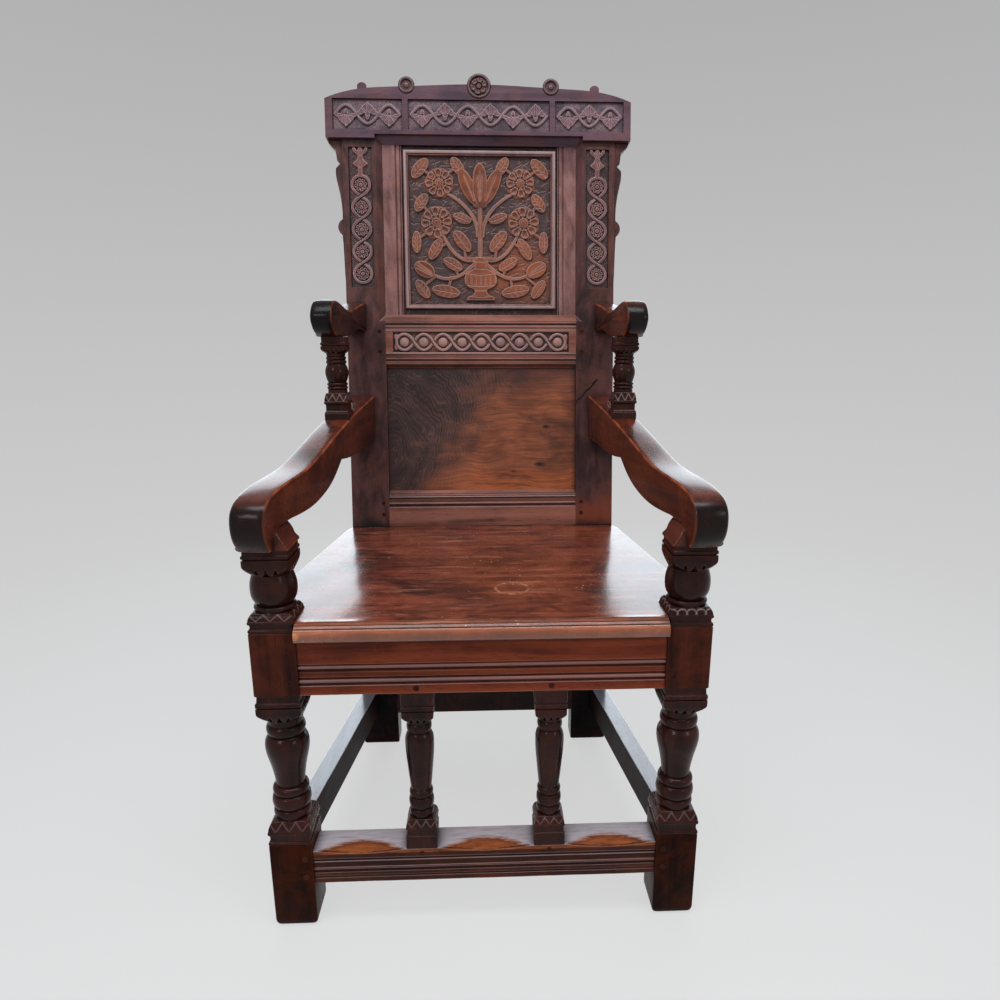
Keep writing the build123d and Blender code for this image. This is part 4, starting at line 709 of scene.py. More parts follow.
def square_base(shape, x, y, low, half, heights, slim, lean, cut, per_side=60):
    """Bead, hollow fascia, bead, and a carved block that leans in towards the turning above."""
    bead, fascia, bead_above, block = heights
    a, b, c = low + bead, low + bead + fascia, low + bead + fascia + bead_above
    top = c + block
    shape.squared(x, y, bulge((half - 1.0, low), (half - 1.0, a), 1.0, 6))
    shape.squared(x, y, [(half - slim, a - 0.3), (half - slim - 0.6, a + 0.3 * fascia),
                         (half - slim - 0.6, a + 0.6 * fascia), (half - slim, b + 0.3)])
    shape.squared(x, y, bulge((half - 1.0, b), (half - 1.0, c), 1.0, 6))
    rows = [(half - 0.8 - lean * ((z - c) / block) ** 1.8, z) for z in steps_between(c, top - 0.8, 18)]
    rows += [(half - lean - 1.6, top)]
    shape.squared(x, y, rows, per_side=per_side, carve=cut(c + 0.8, top - 1.2))
    return top


def capital(shape, x, y, low, tall, half, neck, step, per_side=60):
    """Quarter-round capital, round at its neck and square above, cut with hanging tongues."""
    rows = [(neck - 3, low - 0.2, neck - 4)]
    for k in range(19):
        t = k / 18
        swell = sin(min(t / 0.7, 1.0) * pi / 2) ** 0.9
        width = neck + (half - neck) * swell
        rows.append((width, low + tall * t, 1.2 + (width - 1.2) * (1 - swell) ** 0.8))
    rows += [(half, low + tall), (half - 1.5, low + tall + 0.3)]
    shape.squared(x, y, rows, per_side=per_side, carve=tongues(low, low + tall * 0.8, step), round_points=9)


# ---- front posts ---------------------------------------------------------------------------------
FOOT_TOP = 137.0
BLOCK_LOW = 367.4
BLOCK_TOP = 458.0


def front_post(side, sign, scratched):
    """Square foot, lower baluster, joint block, ball and capital."""
    shape = Shape()
    x, y, half = sign * POST_X, POST_Y, POST / 2
    shape.squared(x, y, [(22.4, 0, 5.4), (25.8, 1.1, 4.6), (28.2, 3.8, 3.8), (29.5, 7.6, 3.2), (30.0, 12.5, 2.6),
                         (30.0, 70), (30.0, 134.5), (29.6, 136.4), (28.6, FOOT_TOP)], corner=2.2)
    top = square_base(shape, x, y, FOOT_TOP, half, (5.0, 10.5, 6.0, 13.5), 1.8, 5.2,
                      lambda a, b: zigzags(a, b, 18.4, 0.3), 84)
    outline = [(24.5, top - 1)] + bulge((23.4, top), (23.4, 186), 2.6)
    outline += [(22.6, 186.3)] + bulge((23.2, 186.8), (23.0, 207), 3.7) + [(21.6, 207.4)]
    outline += bulge((22.0, 207.8), (21.2, 220.6), 3.4) + [(19.2, 221.2)]
    outline += curve([(19.8, 222.2), (20.8, 232), (22.8, 245), (25.8, 259), (28.8, 272), (29.9, 282.5),
                      (28.4, 292.5), (24.2, 299.6)], 6)
    outline += [(22.8, 300.2)] + bulge((23.2, 300.8), (23.2, 316), 3.2) + [(22.4, 316.6), (23.6, 318), (24.2, 326.5)]
    shape.turned(x, y, outline)
    capital(shape, x, y, 325.0, 24.0, half, 24.0, 12.0)
    shape.squared(x, y, eased([(28.0, 348.5), (28.0, 350.8), (30.0, 351.2), (30.0, 356.6), (28.4, 357.2),
                               (27.6, 366.5), (28.4, 367.6)], 0.6))
    shape.squared(x, y, eased([(28.8, 367.2), (30.0, 368.6), (30.0, 410), (30.0, 456.8), (28.6, 458.4)], 1.0),
                  corner=1.6)
    top = square_base(shape, x, y, BLOCK_TOP, half, (5.0, 6.5, 5.0, 9.5), 1.8, 4.6, scratched, 84)
    outline = [(26.0, top - 1)] + bulge((25.4, top), (25.0, 491.4), 2.1, 6) + [(22.6, 491.8)]
    outline += curve([(24.0, 492.4), (28.5, 500), (30.2, 511), (29.6, 521), (26.8, 531.5), (26.2, 533.6)], 6)
    shape.turned(x, y, outline)
    capital(shape, x, y, 533.0, 23.4, half, 26.0, 12.0)
    shape.squared(x, y, eased([(28.0, 556), (28.0, 558.4), (30.0, 558.8), (30.0, 562.6), (28.6, 563.2),
                               (28.4, 569.5)], 0.6))
    piece = shape.piece("front_post_" + side, turned_oak)
    piece.data.materials.append(block_oak)
    piece.data.materials.append(foot_oak)
    for polygon in piece.data.polygons:
        z = polygon.center.z / MM
        polygon.material_index = 2 if z < FOOT_TOP else int(BLOCK_LOW < z < BLOCK_TOP)
    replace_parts(piece, "front_post_" + side)


def post_head():
    """Head of the post under the arm: a bracket with a hollow front and a sloped inner face."""
    hollow = curve([(2.0, 569), (3.4, 576), (6.0, 584), (11.5, 590), (20.0, 594)], 5)
    behind = curve([(68, 594), (69.5, 588), (66.5, 581), (62.5, 576.5), (64.8, 571), (60, 569)], 5)
    profile = hollow + behind
    outer, loops = -(POST_X + 28.5), []
    loops.append([(outer, POST_FACE + v, z) for v, z in profile])
    loops.append([(-POST_IN - 17.7 * (z - 569) / 25.0 + 0.2, POST_FACE + v, z) for v, z in profile])
    shape = Shape()
    shape.rings(loops)
    return ease_edges(shape.piece("post_head_left", arm_oak), 0.8)


front_post("left", -1, lambda a, b: zigzags(a, b, 18.4))
front_post("right", 1, lambda a, b: lunettes(a, b, 12.6))
head_left = post_head()
mirrored(head_left, "post_head_right")


# ---- spindles under the seat ---------------------------------------------------------------------
def front_spindle():
    """Baluster between the stretcher and the front rail."""
    shape = Shape()
    x, y, half = -90.993, RAIL_Y + 22.0, 22.0
    shape.squared(x, y, eased([(half, 123.6), (half, 138.8), (half - 0.7, 139.6), (half - 0.7, 140.2),
                               (half, 141.0), (half, 143.4), (half - 1.4, 144.2)], 0.5), corner=1.4)
    shape.squared(x, y, eased([(half - 1.6, 143.8), (half - 1.6, 153.6), (half - 1.2, 154.2)], 0.4))
    shape.squared(x, y, bulge((half - 0.8, 154.0), (half - 0.8, 157.2), 0.8, 5))
    rows = [(half - 0.6 - 3.8 * ((z - 157.2) / 10.2) ** 1.8, z) for z in steps_between(157.2, 167.4, 15)]
    shape.squared(x, y, rows + [(half - 5.4, 168.0)], per_side=62, carve=zigzags(157.9, 166.6, 13.4, 0.3))
    outline = [(16.0, 167)] + bulge((15.4, 168), (15.6, 180.6), 1.9, 8) + [(14.8, 181)]
    outline += bulge((15.4, 181.4), (15.4, 198.6), 2.3, 8) + [(14.4, 199)]
    outline += bulge((14.6, 199.4), (14.2, 210.4), 2.3, 8) + [(13.2, 211)]
    outline += curve([(14.6, 212), (16.2, 228), (18.2, 250), (19.8, 270), (20.1, 284), (18.8, 294.5),
                      (15.8, 300.4)], 6)
    outline += [(15.0, 301)] + bulge((15.4, 301.6), (15.4, 314.6), 2.1, 8) + [(14.8, 315.2)]
    outline += [(16.0, 315.8), (16.6, 320.0)]
    shape.turned(x, y, outline, 60)
    capital(shape, x, y, 317.4, 20.6, 21.7, 16.2, 8.8, 46)
    shape.squared(x, y, eased([(half - 1.6, 337.6), (half - 1.6, 340.0), (half, 340.5), (half, 346.2),
                               (half - 1.6, 346.9), (half - 1.6, 349.2), (half, 349.8), (half, 367.5)], 0.5),
                  corner=1.4)
    return shape.piece("front_spindle_left", turned_oak)


spindle_left = front_spindle()
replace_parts(spindle_left, "front_spindle_left")
mirrored(spindle_left, "front_spindle_right", "front_spindle_right")


# ---- small columns on the arms -------------------------------------------------------------------
COLUMN_X = 243.641
COLUMN_Y = POST_FACE + 369.0


def wing_column():
    """Ringed column with a swelling at its middle, standing on the arm."""
    shape = Shape()
    x, y, half = -COLUMN_X, COLUMN_Y, 20.5
    shape.squared(x, y, eased([(half, 684.0), (half, 704.2), (half - 0.8, 705.0), (half - 0.8, 707.0)], 0.6))
    shape.squared(x, y, eased([(half - 1.2, 706.8), (half - 2.4, 708.6), (half - 2.4, 718.6), (half - 1.4, 719.6)],
                              0.6))
    shape.squared(x, y, bulge((half - 1.0, 719.4), (half - 1.0, 724.6), 1.0, 5))
    rows = [(half - 0.8 - 2.6 * ((z - 724.6) / 12.4) ** 1.8, z) for z in steps_between(724.6, 737.0, 18)]
    shape.squared(x, y, rows + [(half - 4.0, 737.8)], per_side=56, carve=zigzags(725.6, 736.0, 12.2))
    outline = [(16.4, 737.0), (16.2, 742.6), (15.4, 743.2)] + bulge((15.8, 743.6), (15.8, 748.6), 1.6, 6)
    outline += [(15.0, 749.0)] + bulge((15.8, 749.4), (15.8, 754.6), 1.6, 6) + [(14.8, 755.0)]
    outline += curve([(15.6, 755.6), (17.6, 761), (19.4, 769), (19.2, 775), (17.4, 781), (15.6, 784.8)], 6)
    outline += [(14.8, 785.2)] + bulge((15.6, 785.6), (15.6, 791.4), 1.5, 6) + [(14.8, 791.8)]
    outline += bulge((15.4, 792.2), (15.4, 797.4), 1.5, 6) + [(14.8, 797.8), (15.6, 798.4), (16.2, 803)]
    shape.turned(x, y, outline, 56)
    capital(shape, x, y, 801.5, 12.5, half, 15.5, 8.2)
    shape.squared(x, y, eased([(half - 1.5, 813.8), (half - 1.5, 815.4), (half, 815.8), (half, 819.6),
                               (half - 1.5, 820.2), (half - 1.5, 829.4)], 0.5))
    return shape.piece("wing_column_left", turned_oak)


column_left = wing_column()
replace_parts(column_left, "wing_column_left")
mirrored(column_left, "wing_column_right", "wing_column_right")


# ---- arms ----------------------------------------------------------------------------------------
ARM_IN_FRONT, ARM_IN_BACK, ARM_RUN = 262.7, 204.0, 515.0       # inner face from the middle, front and back
ARM_SPLAY = (ARM_IN_FRONT - ARM_IN_BACK) / ARM_RUN
ARM_THICK = 46.0
WING_IN_FRONT, WING_IN_BACK, WING_RUN = 237.341, 215.8, 217.0
WING_SPLAY = (WING_IN_FRONT - WING_IN_BACK) / WING_RUN
WING_START = 325.0            # behind the faces of the posts
WING_THICK = 36.5


def arm_place(inner, splay):
    """Points of a left arm: y back from the post faces, height, and thickness outward."""
    length = sqrt(1 + splay * splay)

    def place(v, z, w):
        return (-inner + (splay * v - w) / length, POST_FACE + (v + splay * w) / length, z)
    return place


def sawn_arm(name, under, over, place, thick, round_outside, round_inside, crown):
    """Arm sawn to shape, its top arrises rubbed round, more on the outside than within."""
    points = np.array([tuple(p) for p in under + over])
    ahead, behind = np.roll(points, -1, axis=0), np.roll(points, 1, axis=0)
    along = (ahead - behind) / np.linalg.norm(ahead - behind, axis=1, keepdims=True)
    inward = np.stack([along[:, 1], -along[:, 0]], axis=1)
    upper = np.concatenate([np.zeros(len(under)), np.ones(len(over))])
    upper = np.convolve(np.pad(upper, 3, mode="wrap"), np.ones(7) / 7, "valid")
    slices = [round_inside * k for k in (0, 0.12, 0.4, 1.0)]
    slices += [float(w) for w in np.linspace(round_inside, thick - round_outside, 7)[1:-1]]
    slices += [thick - round_outside * k for k in (1.0, 0.7, 0.45, 0.25, 0.1, 0.02, 0.0)]
    loops, rubbed, grimy = [], [], []
    for w in slices:
        inner = np.clip(1 - w / round_inside, 0, 1)
        outer = np.clip(1 - (thick - w) / round_outside, 0, 1)
        large = round_inside * (1 - sqrt(1 - inner ** 2)) + round_outside * (1 - sqrt(1 - outer ** 2))
        large += crown * (2 * w / thick - 1) ** 2
        small = 1.6 * (1 - sqrt(1 - np.clip(1 - min(w, thick - w) / 1.6, 0, 1) ** 2))
        shift = upper * large + (1 - upper) * small
        loops.append([place(*(point + inward_here * move), w) for point, inward_here, move in
                      zip(points, inward, shift)])
        run = points[:, 0] * 0.047 + points[:, 1] * 0.031
        broken = 0.55 + 0.45 * np.sin(run) * np.cos(run * 2.3 + 1.0)
        # forward-facing points of the nose are painted near black: hand grease and painted dark reflection
        front = np.clip((min(points[:, 0]) + 22 - points[:, 0]) / 16, 0, 1) * np.clip(inward[:, 0] * 1.6, 0, 1)
        rubbed.append(list(upper * broken * (1 - 0.6 * front) * (0 < w < round_inside * 0.6)))
        grimy.append(list(front * 0.95 * (0 < w < thick)))
    shape = Shape()
    shape.rings(loops, rubbed=rubbed, grimy=grimy)
    return shape.piece(name, arm_oak, 48.0)


under = curve([(521, 640), (430, 635), (350, 631), (298, 635.5)], 8)
under += curve([(298, 635.5), (254, 612.5), (203, 598), (142, 591.5), (100, 592.5), (72, 594.3)], 8)[1:]
nose = [(24, 594.3), (19, 569.2)]
over = curve([(-7, 569.2), (-18, 584), (-22.3, 604), (-18.5, 621), (-7, 633), (14, 640.5), (65, 646.5),
              (142, 651), (222, 666.5), (330, 690.5), (420, 706.5), (521, 721)], 8)
arm_left = sawn_arm("arm_left", under + nose, over, arm_place(ARM_IN_FRONT, ARM_SPLAY), ARM_THICK, 6.5, 3.0, 1.3)
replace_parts(arm_left, "arm_left")
mirrored(arm_left, "arm_right", "arm_right")

wing_under = curve([(552, 838.8), (532, 839.5), (490, 842.5), (440, 833), (392.5, 829)], 8)
wing_over = curve([(350.5, 829), (337, 836), (327, 847), (323, 860), (328, 873), (338, 883.5), (355, 887.5),
                   (375, 885), (403, 878.5), (434, 873.8), (461, 877), (498, 885), (552, 892.5)], 8)
wing_left = sawn_arm("wing_arm_left", wing_under, wing_over,
                     arm_place(WING_IN_FRONT + WING_START * WING_SPLAY, WING_SPLAY), WING_THICK, 5.5, 3.0, 1.0)
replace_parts(wing_left, "wing_arm_left")
mirrored(wing_left, "wing_arm_right", "wing_arm_right")
wing_left.data.materials[0] = dark_arm_oak


# ---- seat ----------------------------------------------------------------------------------------
SEAT_LIP = -322.2             # front of the board
NOSE_END = -305.5             # where the rounded front meets the flat top
BEHIND_POST = -251.4          # front of the board's wings, just behind the posts
BEFORE_STILE = 166.2          # back of the board's wings, just before the stiles
SEAT_BACK = 186.4             # back of the board between the stiles
HALF_FRONT = 244.8            # half widths: between the posts, ...
HALF_BEHIND_POST = 309.97     # ... across the wings behind the posts, ...
HALF_BACK = 257.2             # ... across the wings before the stiles, ...
HALF_TONGUE = 180.55          # ... and between the stiles
SEAT_UNDER = 447.0
right_half = [(HALF_FRONT, SEAT_LIP), (HALF_FRONT, BEHIND_POST), (HALF_BEHIND_POST, BEHIND_POST),
              (HALF_BACK, BEFORE_STILE), (HALF_TONGUE, BEFORE_STILE), (HALF_TONGUE, SEAT_BACK)]
SEAT_PLAN = right_half + [(-x, y) for x, y in reversed(right_half)]
SEAT_NOSE = [(-318.5, 447.2), (-321, 450), (-322.2, 457), (-322, 459.8), (-320.5, 462.3), (-318.0, 464.6),
             (-317.6, 463.4), (-316.6, 463.8), (-316.2, 466.2), (-313.4, 468.2), (-313.0, 467.2), (-312.2, 467.4),
             (-311.8, 469.2), (-308.8, 470.8), (-308.4, 469.7), (-307.6, 469.8), (-307.2, 471.4), (-305.5, 471.8)]
SEAT_GROOVES = (6, 7, 10, 11, 14, 15)


def seat_edge(x, y):
    """Distance of a place on the seat from its edge."""
    best = 1e3
    for (x0, y0), (x1, y1) in zip(SEAT_PLAN, SEAT_PLAN[1:] + SEAT_PLAN[:1]):
        dx, dy = x1 - x0, y1 - y0
        t = min(max(((x - x0) * dx + (y - y0) * dy) / (dx * dx + dy * dy), 0.0), 1.0)
        best = min(best, sqrt((x - x0 - t * dx) ** 2 + (y - y0 - t * dy) ** 2))
    return best


def seat_board():
    """One wide board, a little uneven, with three grooves along its rounded front."""
    stations = [(x, True, True) for x in np.linspace(0, HALF_TONGUE, 24)]
    stations += [(x, True, False) for x in np.linspace(HALF_TONGUE, HALF_FRONT, 10)]
    stations += [(x, False, False) for x in list(np.linspace(HALF_FRONT, 300, 9)) + [304, 307, 308.6, 309.5, 309.9]]
    rows = [(-x, nosed, deep) for x, nosed, deep in reversed(stations)] + stations[1:]
    loops, groove, worn = [], [], []
    for x, nosed, deep in rows:
        side = abs(x)
        back = SEAT_BACK if deep else BEFORE_STILE
        if side > HALF_BACK:
            share = (HALF_BEHIND_POST - side) / (HALF_BEHIND_POST - HALF_BACK)
            back = BEHIND_POST + share * (BEFORE_STILE - BEHIND_POST)
        front = NOSE_END if nosed else BEHIND_POST
        if nosed:
            loop = [(x, y, z) for y, z in SEAT_NOSE]
        else:
            loop = [(x, BEHIND_POST, z) for z in np.linspace(447.2, 471.9, len(SEAT_NOSE))]
        near = (0.0, 2.4, 8.0, 17.0) if side > HALF_BACK else (0.0, 0.4, 1.2, 3.0)
        last = max(back - near[-1], front + 1.0)
        ys = list(np.linspace(front + 0.9, last, 56)) + [min(max(back - k, front + 1.0), back) for k in near[-2::-1]]
        for y in ys:
            edge = seat_edge(x, y) if y > -250 else 9.0
            fall = 2.2 * (1 - sqrt(max(1 - max(1 - edge / 2.2, 0.0) ** 2, 0.0)))
            sag = 0.22 * sin(x * 0.031 + 1.0) * sin(y * 0.027 + 0.6) + 0.12 * sin(x * 0.083 - y * 0.041)
            loop.append((x, y, 471.7 - fall + sag * min(edge / 9.0, 1.0)))
        loop += [(x, back, SEAT_UNDER), (x, front + 4.0 if nosed else front, SEAT_UNDER)]
        loops.append(loop)
        spare = [0.0] * (len(loop) - len(SEAT_NOSE))
        # the grooves are painted dark as shade
        groove.append([0.95 * (k in SEAT_GROOVES and nosed) for k in range(len(SEAT_NOSE))] + spare)
        worn.append([(0.35 * (k in (1, 2, 3)) + 0.5 * (k in (4, 5)) + 0.15 * (k in (8, 9, 12, 13, 16))) * nosed
                     for k in range(len(SEAT_NOSE))] + spare)
    shape = Shape()
    shape.rings(loops, hollow=groove, rubbed=worn)
    return welded(shape.piece("seat_board", seat_oak))


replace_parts(seat_board(), "seat_board")


# ---- moulded rails -------------------------------------------------------------------------------
def bead(centre, radius, out):
    """Half-round between two quirks."""
    return [(centre - radius * cos(t), out - radius * (1 - sin(t)) * 0.9) for t in np.linspace(0.15, pi - 0.15, 9)]


def on_front(x, z, d):
    """Point of the front frame: x across, z up, d out of the rails' faces."""
    return np.stack(np.broadcast_arrays(x, RAIL_Y - d, z), axis=-1)


def close_set(section, pattern):
    """The same section with a point just beside each end of the flats that are long in the pattern."""
    made = [section[0]]
    for start, end, first, second in zip(section, section[1:], pattern, pattern[1:]):
        if abs(first[0] - second[0]) + abs(first[1] - second[1]) > 1.8:
            a, b = np.array(start, float), np.array(end, float)
            share = min(0.5 / (np.linalg.norm(b - a) + 1e-6), 0.3)
            made += [tuple(a + (b - a) * share), tuple(b - (b - a) * share)]
        made.append(end)
    return made


BETWEEN_POSTS = POST_IN - 0.1
FRONT_RAIL_THICK = 44.0
BACK_RAIL_THICK = 36.0


def moulded_rail(name, section, half, thick, place, material, stations=None, shaped=None):
    """Rail with its moulding worked along the front: section is (height, out) from bottom to top."""
    shape = Shape()
    loops, pale, dark = [], [], []
    for x in stations or np.linspace(-half, half, 41):
        rows = close_set(shaped(x) if shaped else section, shaped(0.0) if shaped else section)
        across = np.array(rows, float)
        bend = np.zeros(len(across))
        run_in, run_out = across[1:-1] - across[:-2], across[2:] - across[1:-1]
        bend[1:-1] = (run_in[:, 0] * run_out[:, 1] - run_in[:, 1] * run_out[:, 0]) / (
            np.linalg.norm(run_in, axis=1) * np.linalg.norm(run_out, axis=1) + 1e-6)
        uneven = 0.12 * sin(x * 0.045) + 0.07 * sin(x * 0.13 + 1.0)
        loop = [place(x, h, d + uneven * (0.4 + 0.6 * (d < -0.2))) for h, d in rows]
        loop += [place(x, rows[-1][0], -thick), place(x, rows[0][0], -thick)]
        loops.append([tuple(p) for p in loop])
        # convex ridges are paled as old wax and painted highlight, recesses darkened as painted shade
        pale.append(list(np.clip(-bend * 1.2, 0, 0.85) * (across[:, 1] > -1.3)) + [0.0, 0.0])
        dark.append(list(np.clip(-across[:, 1] / 2.4, 0, 1) ** 2 * 0.85 * (across[:, 1] > -3.5)) + [0.0, 0.0])
    shape.rings(loops, edge=pale, hollow=dark)
    return shape.piece(name, material, 30.0)


seat_rail_section = [(367.3, -1.0), (368.0, 0.0), (380.6, 0.0), (381.2, -0.8), (382.3, -2.2), (384.2, -2.4)]
seat_rail_section += bead(387.2, 2.6, 0.4) + [(390.4, -2.6), (391.8, -2.4), (392.8, -1.4), (393.2, -1.2), (400, -1.2),
                                              (401.5, -1.6), (402.4, -2.8), (404.4, -2.8)]
seat_rail_section += bead(407.4, 2.5, 0.5) + [(410.4, -1.6), (411.4, -1.0), (412.4, 0.0), (447.0, 0.0)]
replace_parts(moulded_rail("front_seat_rail", seat_rail_section, BETWEEN_POSTS, FRONT_RAIL_THICK, on_front, rail_oak),
            "front_seat_rail")


stretcher_section = [(70.3, -1.2), (71.2, -0.5), (78.6, -0.5), (79.4, -1.6), (80.4, -2.4), (81.4, -1.4),
                     (82, -0.6), (87.4, -0.6), (88.6, -2.2), (90.8, -2.6), (91.8, -1.4), (92.2, -0.6),
                     (94.0, 0.4), (95.6, -0.4), (96.2, -1.4), (96.8, -1.6), (103.8, -1.6), (104.6, -0.6),
                     (106.0, 0), (107.0, -0.2), (107.6, -1.8), (109.6, -2.0), (110.6, -0.2), (111.4, 0)]
STRETCHER_TOP = 124.0
SCOOPS = ((-240.0, -114.0), (-66.0, 66.0), (114.0, 240.0))


def scooped(x):
    """Stretcher's section with its top arris gouged away between the uprights."""
    drop = 0.0
    for start, end in SCOOPS:
        t = (2 * x - start - end) / (end - start)
        if abs(t) < 1:
            drop = 1 - t * t
    low, reach = STRETCHER_TOP - 0.6 - 5.4 * drop, 0.6 + 25.0 * drop
    rows = stretcher_section + [(low - 0.4, 0.0)]
    for k in range(7):
        t = k / 6
        rows.append((low + (STRETCHER_TOP - low) * t - 1.6 * drop * t * (1 - t), -reach * t))
    return rows + [(STRETCHER_TOP, -reach - 4.0)]


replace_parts(moulded_rail("front_stretcher", None, BETWEEN_POSTS, FRONT_RAIL_THICK, on_front, stretcher_oak,
                         list(np.linspace(-BETWEEN_POSTS, BETWEEN_POSTS, 121)), scooped), "front_stretcher")


# ================================ carving =========================================================
class Relief:
    """Heights of carved work at places x across the chair and s up the back."""

    def __init__(self, x, s):
        self.x, self.s = x, s
        self.high = np.zeros_like(x)

    def raise_to(self, height):
        self.high = np.maximum(self.high, height)

    def cut(self, depth):
        self.high = np.maximum(self.high - depth, 0.0)


class Ground(Relief):
    """Relief on a fine grid over a sunk field."""

    def __init__(self, x0, x1, s0, s1, step):
        self.xs = np.linspace(x0, x1, int(round((x1 - x0) / step)) + 1)
        self.ss = np.linspace(s0, s1, int(round((s1 - s0) / step)) + 1)
        self.step = step
        super().__init__(*np.meshgrid(self.xs, self.ss))

    def piece(self, name, face, tall, material, back=2.0):
        """Closed slab whose carved side stands on a ground that far out of the back's face."""
        rows, columns = self.x.shape
        relief = self.high
        front = on_back(self.x, self.s, face + relief).reshape(-1, 3)
        index = np.arange(rows * columns).reshape(rows, columns)
        faces = np.stack([index[:-1, :-1], index[:-1, 1:], index[1:, 1:], index[1:, :-1]], -1).reshape(-1, 4)
        rim = np.concatenate([index[0, :], index[1:, -1], index[-1, -2::-1], index[-2:0:-1, 0]])
        low = on_back(self.x.ravel()[rim], self.s.ravel()[rim], face - back)
        count, base = len(rim), rows * columns
        skirt = [(rim[(k + 1) % count], rim[k], base + k, base + (k + 1) % count) for k in range(count)]
        points = np.concatenate([front, low])
        all_faces = faces.tolist() + [tuple(int(v) for v in f) for f in skirt]
        all_faces.append(tuple(base + k for k in reversed(range(count))))
        raised = np.clip(relief / tall, 0, 1)
        smooth = relief
        for _ in range(3):
            padded = np.pad(smooth, 1, mode="edge")
            smooth = (padded[:-2, 1:-1] + padded[2:, 1:-1] + padded[1:-1, :-2] + padded[1:-1, 2:]
                      + 2 * smooth) / 6
        bend = (relief - smooth) / self.step
        # convex crests are paled as old wax and painted highlight; concave places are darkened as painted shade
        edge = np.clip(bend * 2.6, 0, 1) * np.clip(raised * 3 - 1, 0, 1)
        hollow = np.clip(-bend * 2.2, 0, 1)
        pad = np.zeros(count)
        marks = {"raised": np.concatenate([(raised > 0.45).ravel() * 1.0, pad + 1.0]),
                 "edge": np.concatenate([edge.ravel(), pad]), "hollow": np.concatenate([hollow.ravel(), pad])}
        piece = finish_piece(name, points, all_faces, material, marks, 180.0)
        for polygon in piece.data.polygons[len(faces):]:
            polygon.use_smooth = False
        return piece


def smoothstep(value):
    value = np.clip(value, 0, 1)
    return value * value * (3 - 2 * value)


def flat_top(inside, tall, soft=1.3):
    """Flat relief with steep, slightly eased sides; inside is the distance within the outline."""
    return tall * smoothstep(inside / soft + 0.5) * (inside > -soft)


def round_top(inside, half, tall):
    """Rounded relief, half is the distance from edge to ridge."""
    share = np.clip(inside / half, 0, 1)
    return tall * np.sqrt(1 - (1 - share) ** 2) * (inside > 0)


def pillow(inside, half, tall):
    """Relief with a broad soft top, like a flat strap with its arrises taken off."""
    return tall * (1 - (1 - np.clip(inside / half, 0, 1)) ** 2.6)


def disc(g, x, s, radius):
    return radius - np.hypot(g.x - x, g.s - s)


def oval(g, x, s, wide, tall, lean=0.0):
    """Distance inside an ellipse that leans anticlockwise by some degrees."""
    c, n = cos(radians(lean)), sin(radians(lean))
    u, v = (g.x - x) * c + (g.s - s) * n, -(g.x - x) * n + (g.s - s) * c
    k = np.hypot(u / wide, v / tall) + 1e-9
    return (1 - k) * k / np.hypot(u / wide ** 2, v / tall ** 2).clip(1e-9)


def stroke(g, points, width, taper=0.0):
    """Distance inside a stem that follows points, narrowing by taper towards its end."""
    best = np.full_like(g.x, -1e3)
    last = len(points) - 1
    for k in range(last):
        (x0, s0), (x1, s1) = points[k], points[k + 1]
        dx, ds = x1 - x0, s1 - s0
        along = np.clip(((g.x - x0) * dx + (g.s - s0) * ds) / (dx * dx + ds * ds), 0, 1)
        off = np.hypot(g.x - x0 - along * dx, g.s - s0 - along * ds)
        half = width / 2 * (1 - taper * (k + along) / last)
        best = np.maximum(best, half - off)
    return best


def rosette(g, x, s, radius, petals, tall, spin=0.0):
    """Round flower: spoon-shaped petals parted by seams, and a domed eye in a moat."""
    angle = np.arctan2(g.s - s, g.x - x) + spin
    far = np.hypot(g.x - x, g.s - s)
    turn = (angle * petals / (2 * pi)) % 1.0 - 0.5
    side = np.abs(turn) * 2 * pi / petals * far
    seam = (0.5 - np.abs(turn)) * 2 * pi / petals * far
    rim = radius * (1.0 - 0.20 * (np.abs(turn) * 2) ** 2.6)
    body = flat_top(rim - far, tall, 1.0)
    wide = pi / petals * radius * 0.70 * 0.62
    spoon = np.clip(1 - (side / wide) ** 2 - ((far - radius * 0.70) / (radius * 0.24)) ** 2, 0, 1)
    body = body - 0.45 * tall * spoon ** 0.7
    body = body - 0.62 * tall * np.clip(1 - seam / (radius * 0.075), 0, 1) * (far > radius * 0.3)
    body = body - 0.85 * tall * np.clip(1 - np.abs(far - radius * 0.37) / (radius * 0.09), 0, 1)
    return np.maximum(np.maximum(body, 0), round_top(radius * 0.30 - far, radius * 0.28, tall))


def chain(g, centres, line, radius, width, tall, upright, over_sign):
    """Two straps that weave round a row of centres and cross between them."""
    along, off = (g.s, g.x - line) if upright else (g.x, g.s - line)
    step = centres[1] - centres[0]
    phase = (along - centres[0]) / step
    swing = radius * np.abs(np.cos(pi * phase)) ** 0.82 * np.sign(np.cos(pi * phase))
    slope = radius * pi / step * np.sin(pi * phase)
    steep = np.sqrt(1 + np.minimum(np.abs(slope), 2.4) ** 2)
    first, second = np.abs(off - swing) / steep, np.abs(off + swing) / steep
    ends = np.where(along < centres[0], centres[0], np.where(along > centres[-1], centres[-1], np.nan))
    at_end = ~np.isnan(ends)
    ring = np.abs(np.hypot(off, along - np.nan_to_num(ends)) - radius)
    first, second = np.where(at_end, ring, first), np.where(at_end, ring, second)
    half = width / 2
    crossing = np.floor(phase).astype(int)
    on_top = np.where((crossing % 2 == 0) == (over_sign > 0), first, second)
    below = np.where((crossing % 2 == 0) == (over_sign > 0), second, first)
    near = np.exp(-((phase - np.floor(phase) - 0.5) / 0.16) ** 2) * ~at_end
    lower = pillow(half - below, half * 0.8, tall * 1.0) * (1 - 0.30 * near)
    lower = np.where((on_top < half + 0.9) & (near > 0.25), lower * 0.25, lower)
    return np.maximum(pillow(half - on_top, half * 0.8, tall), lower)


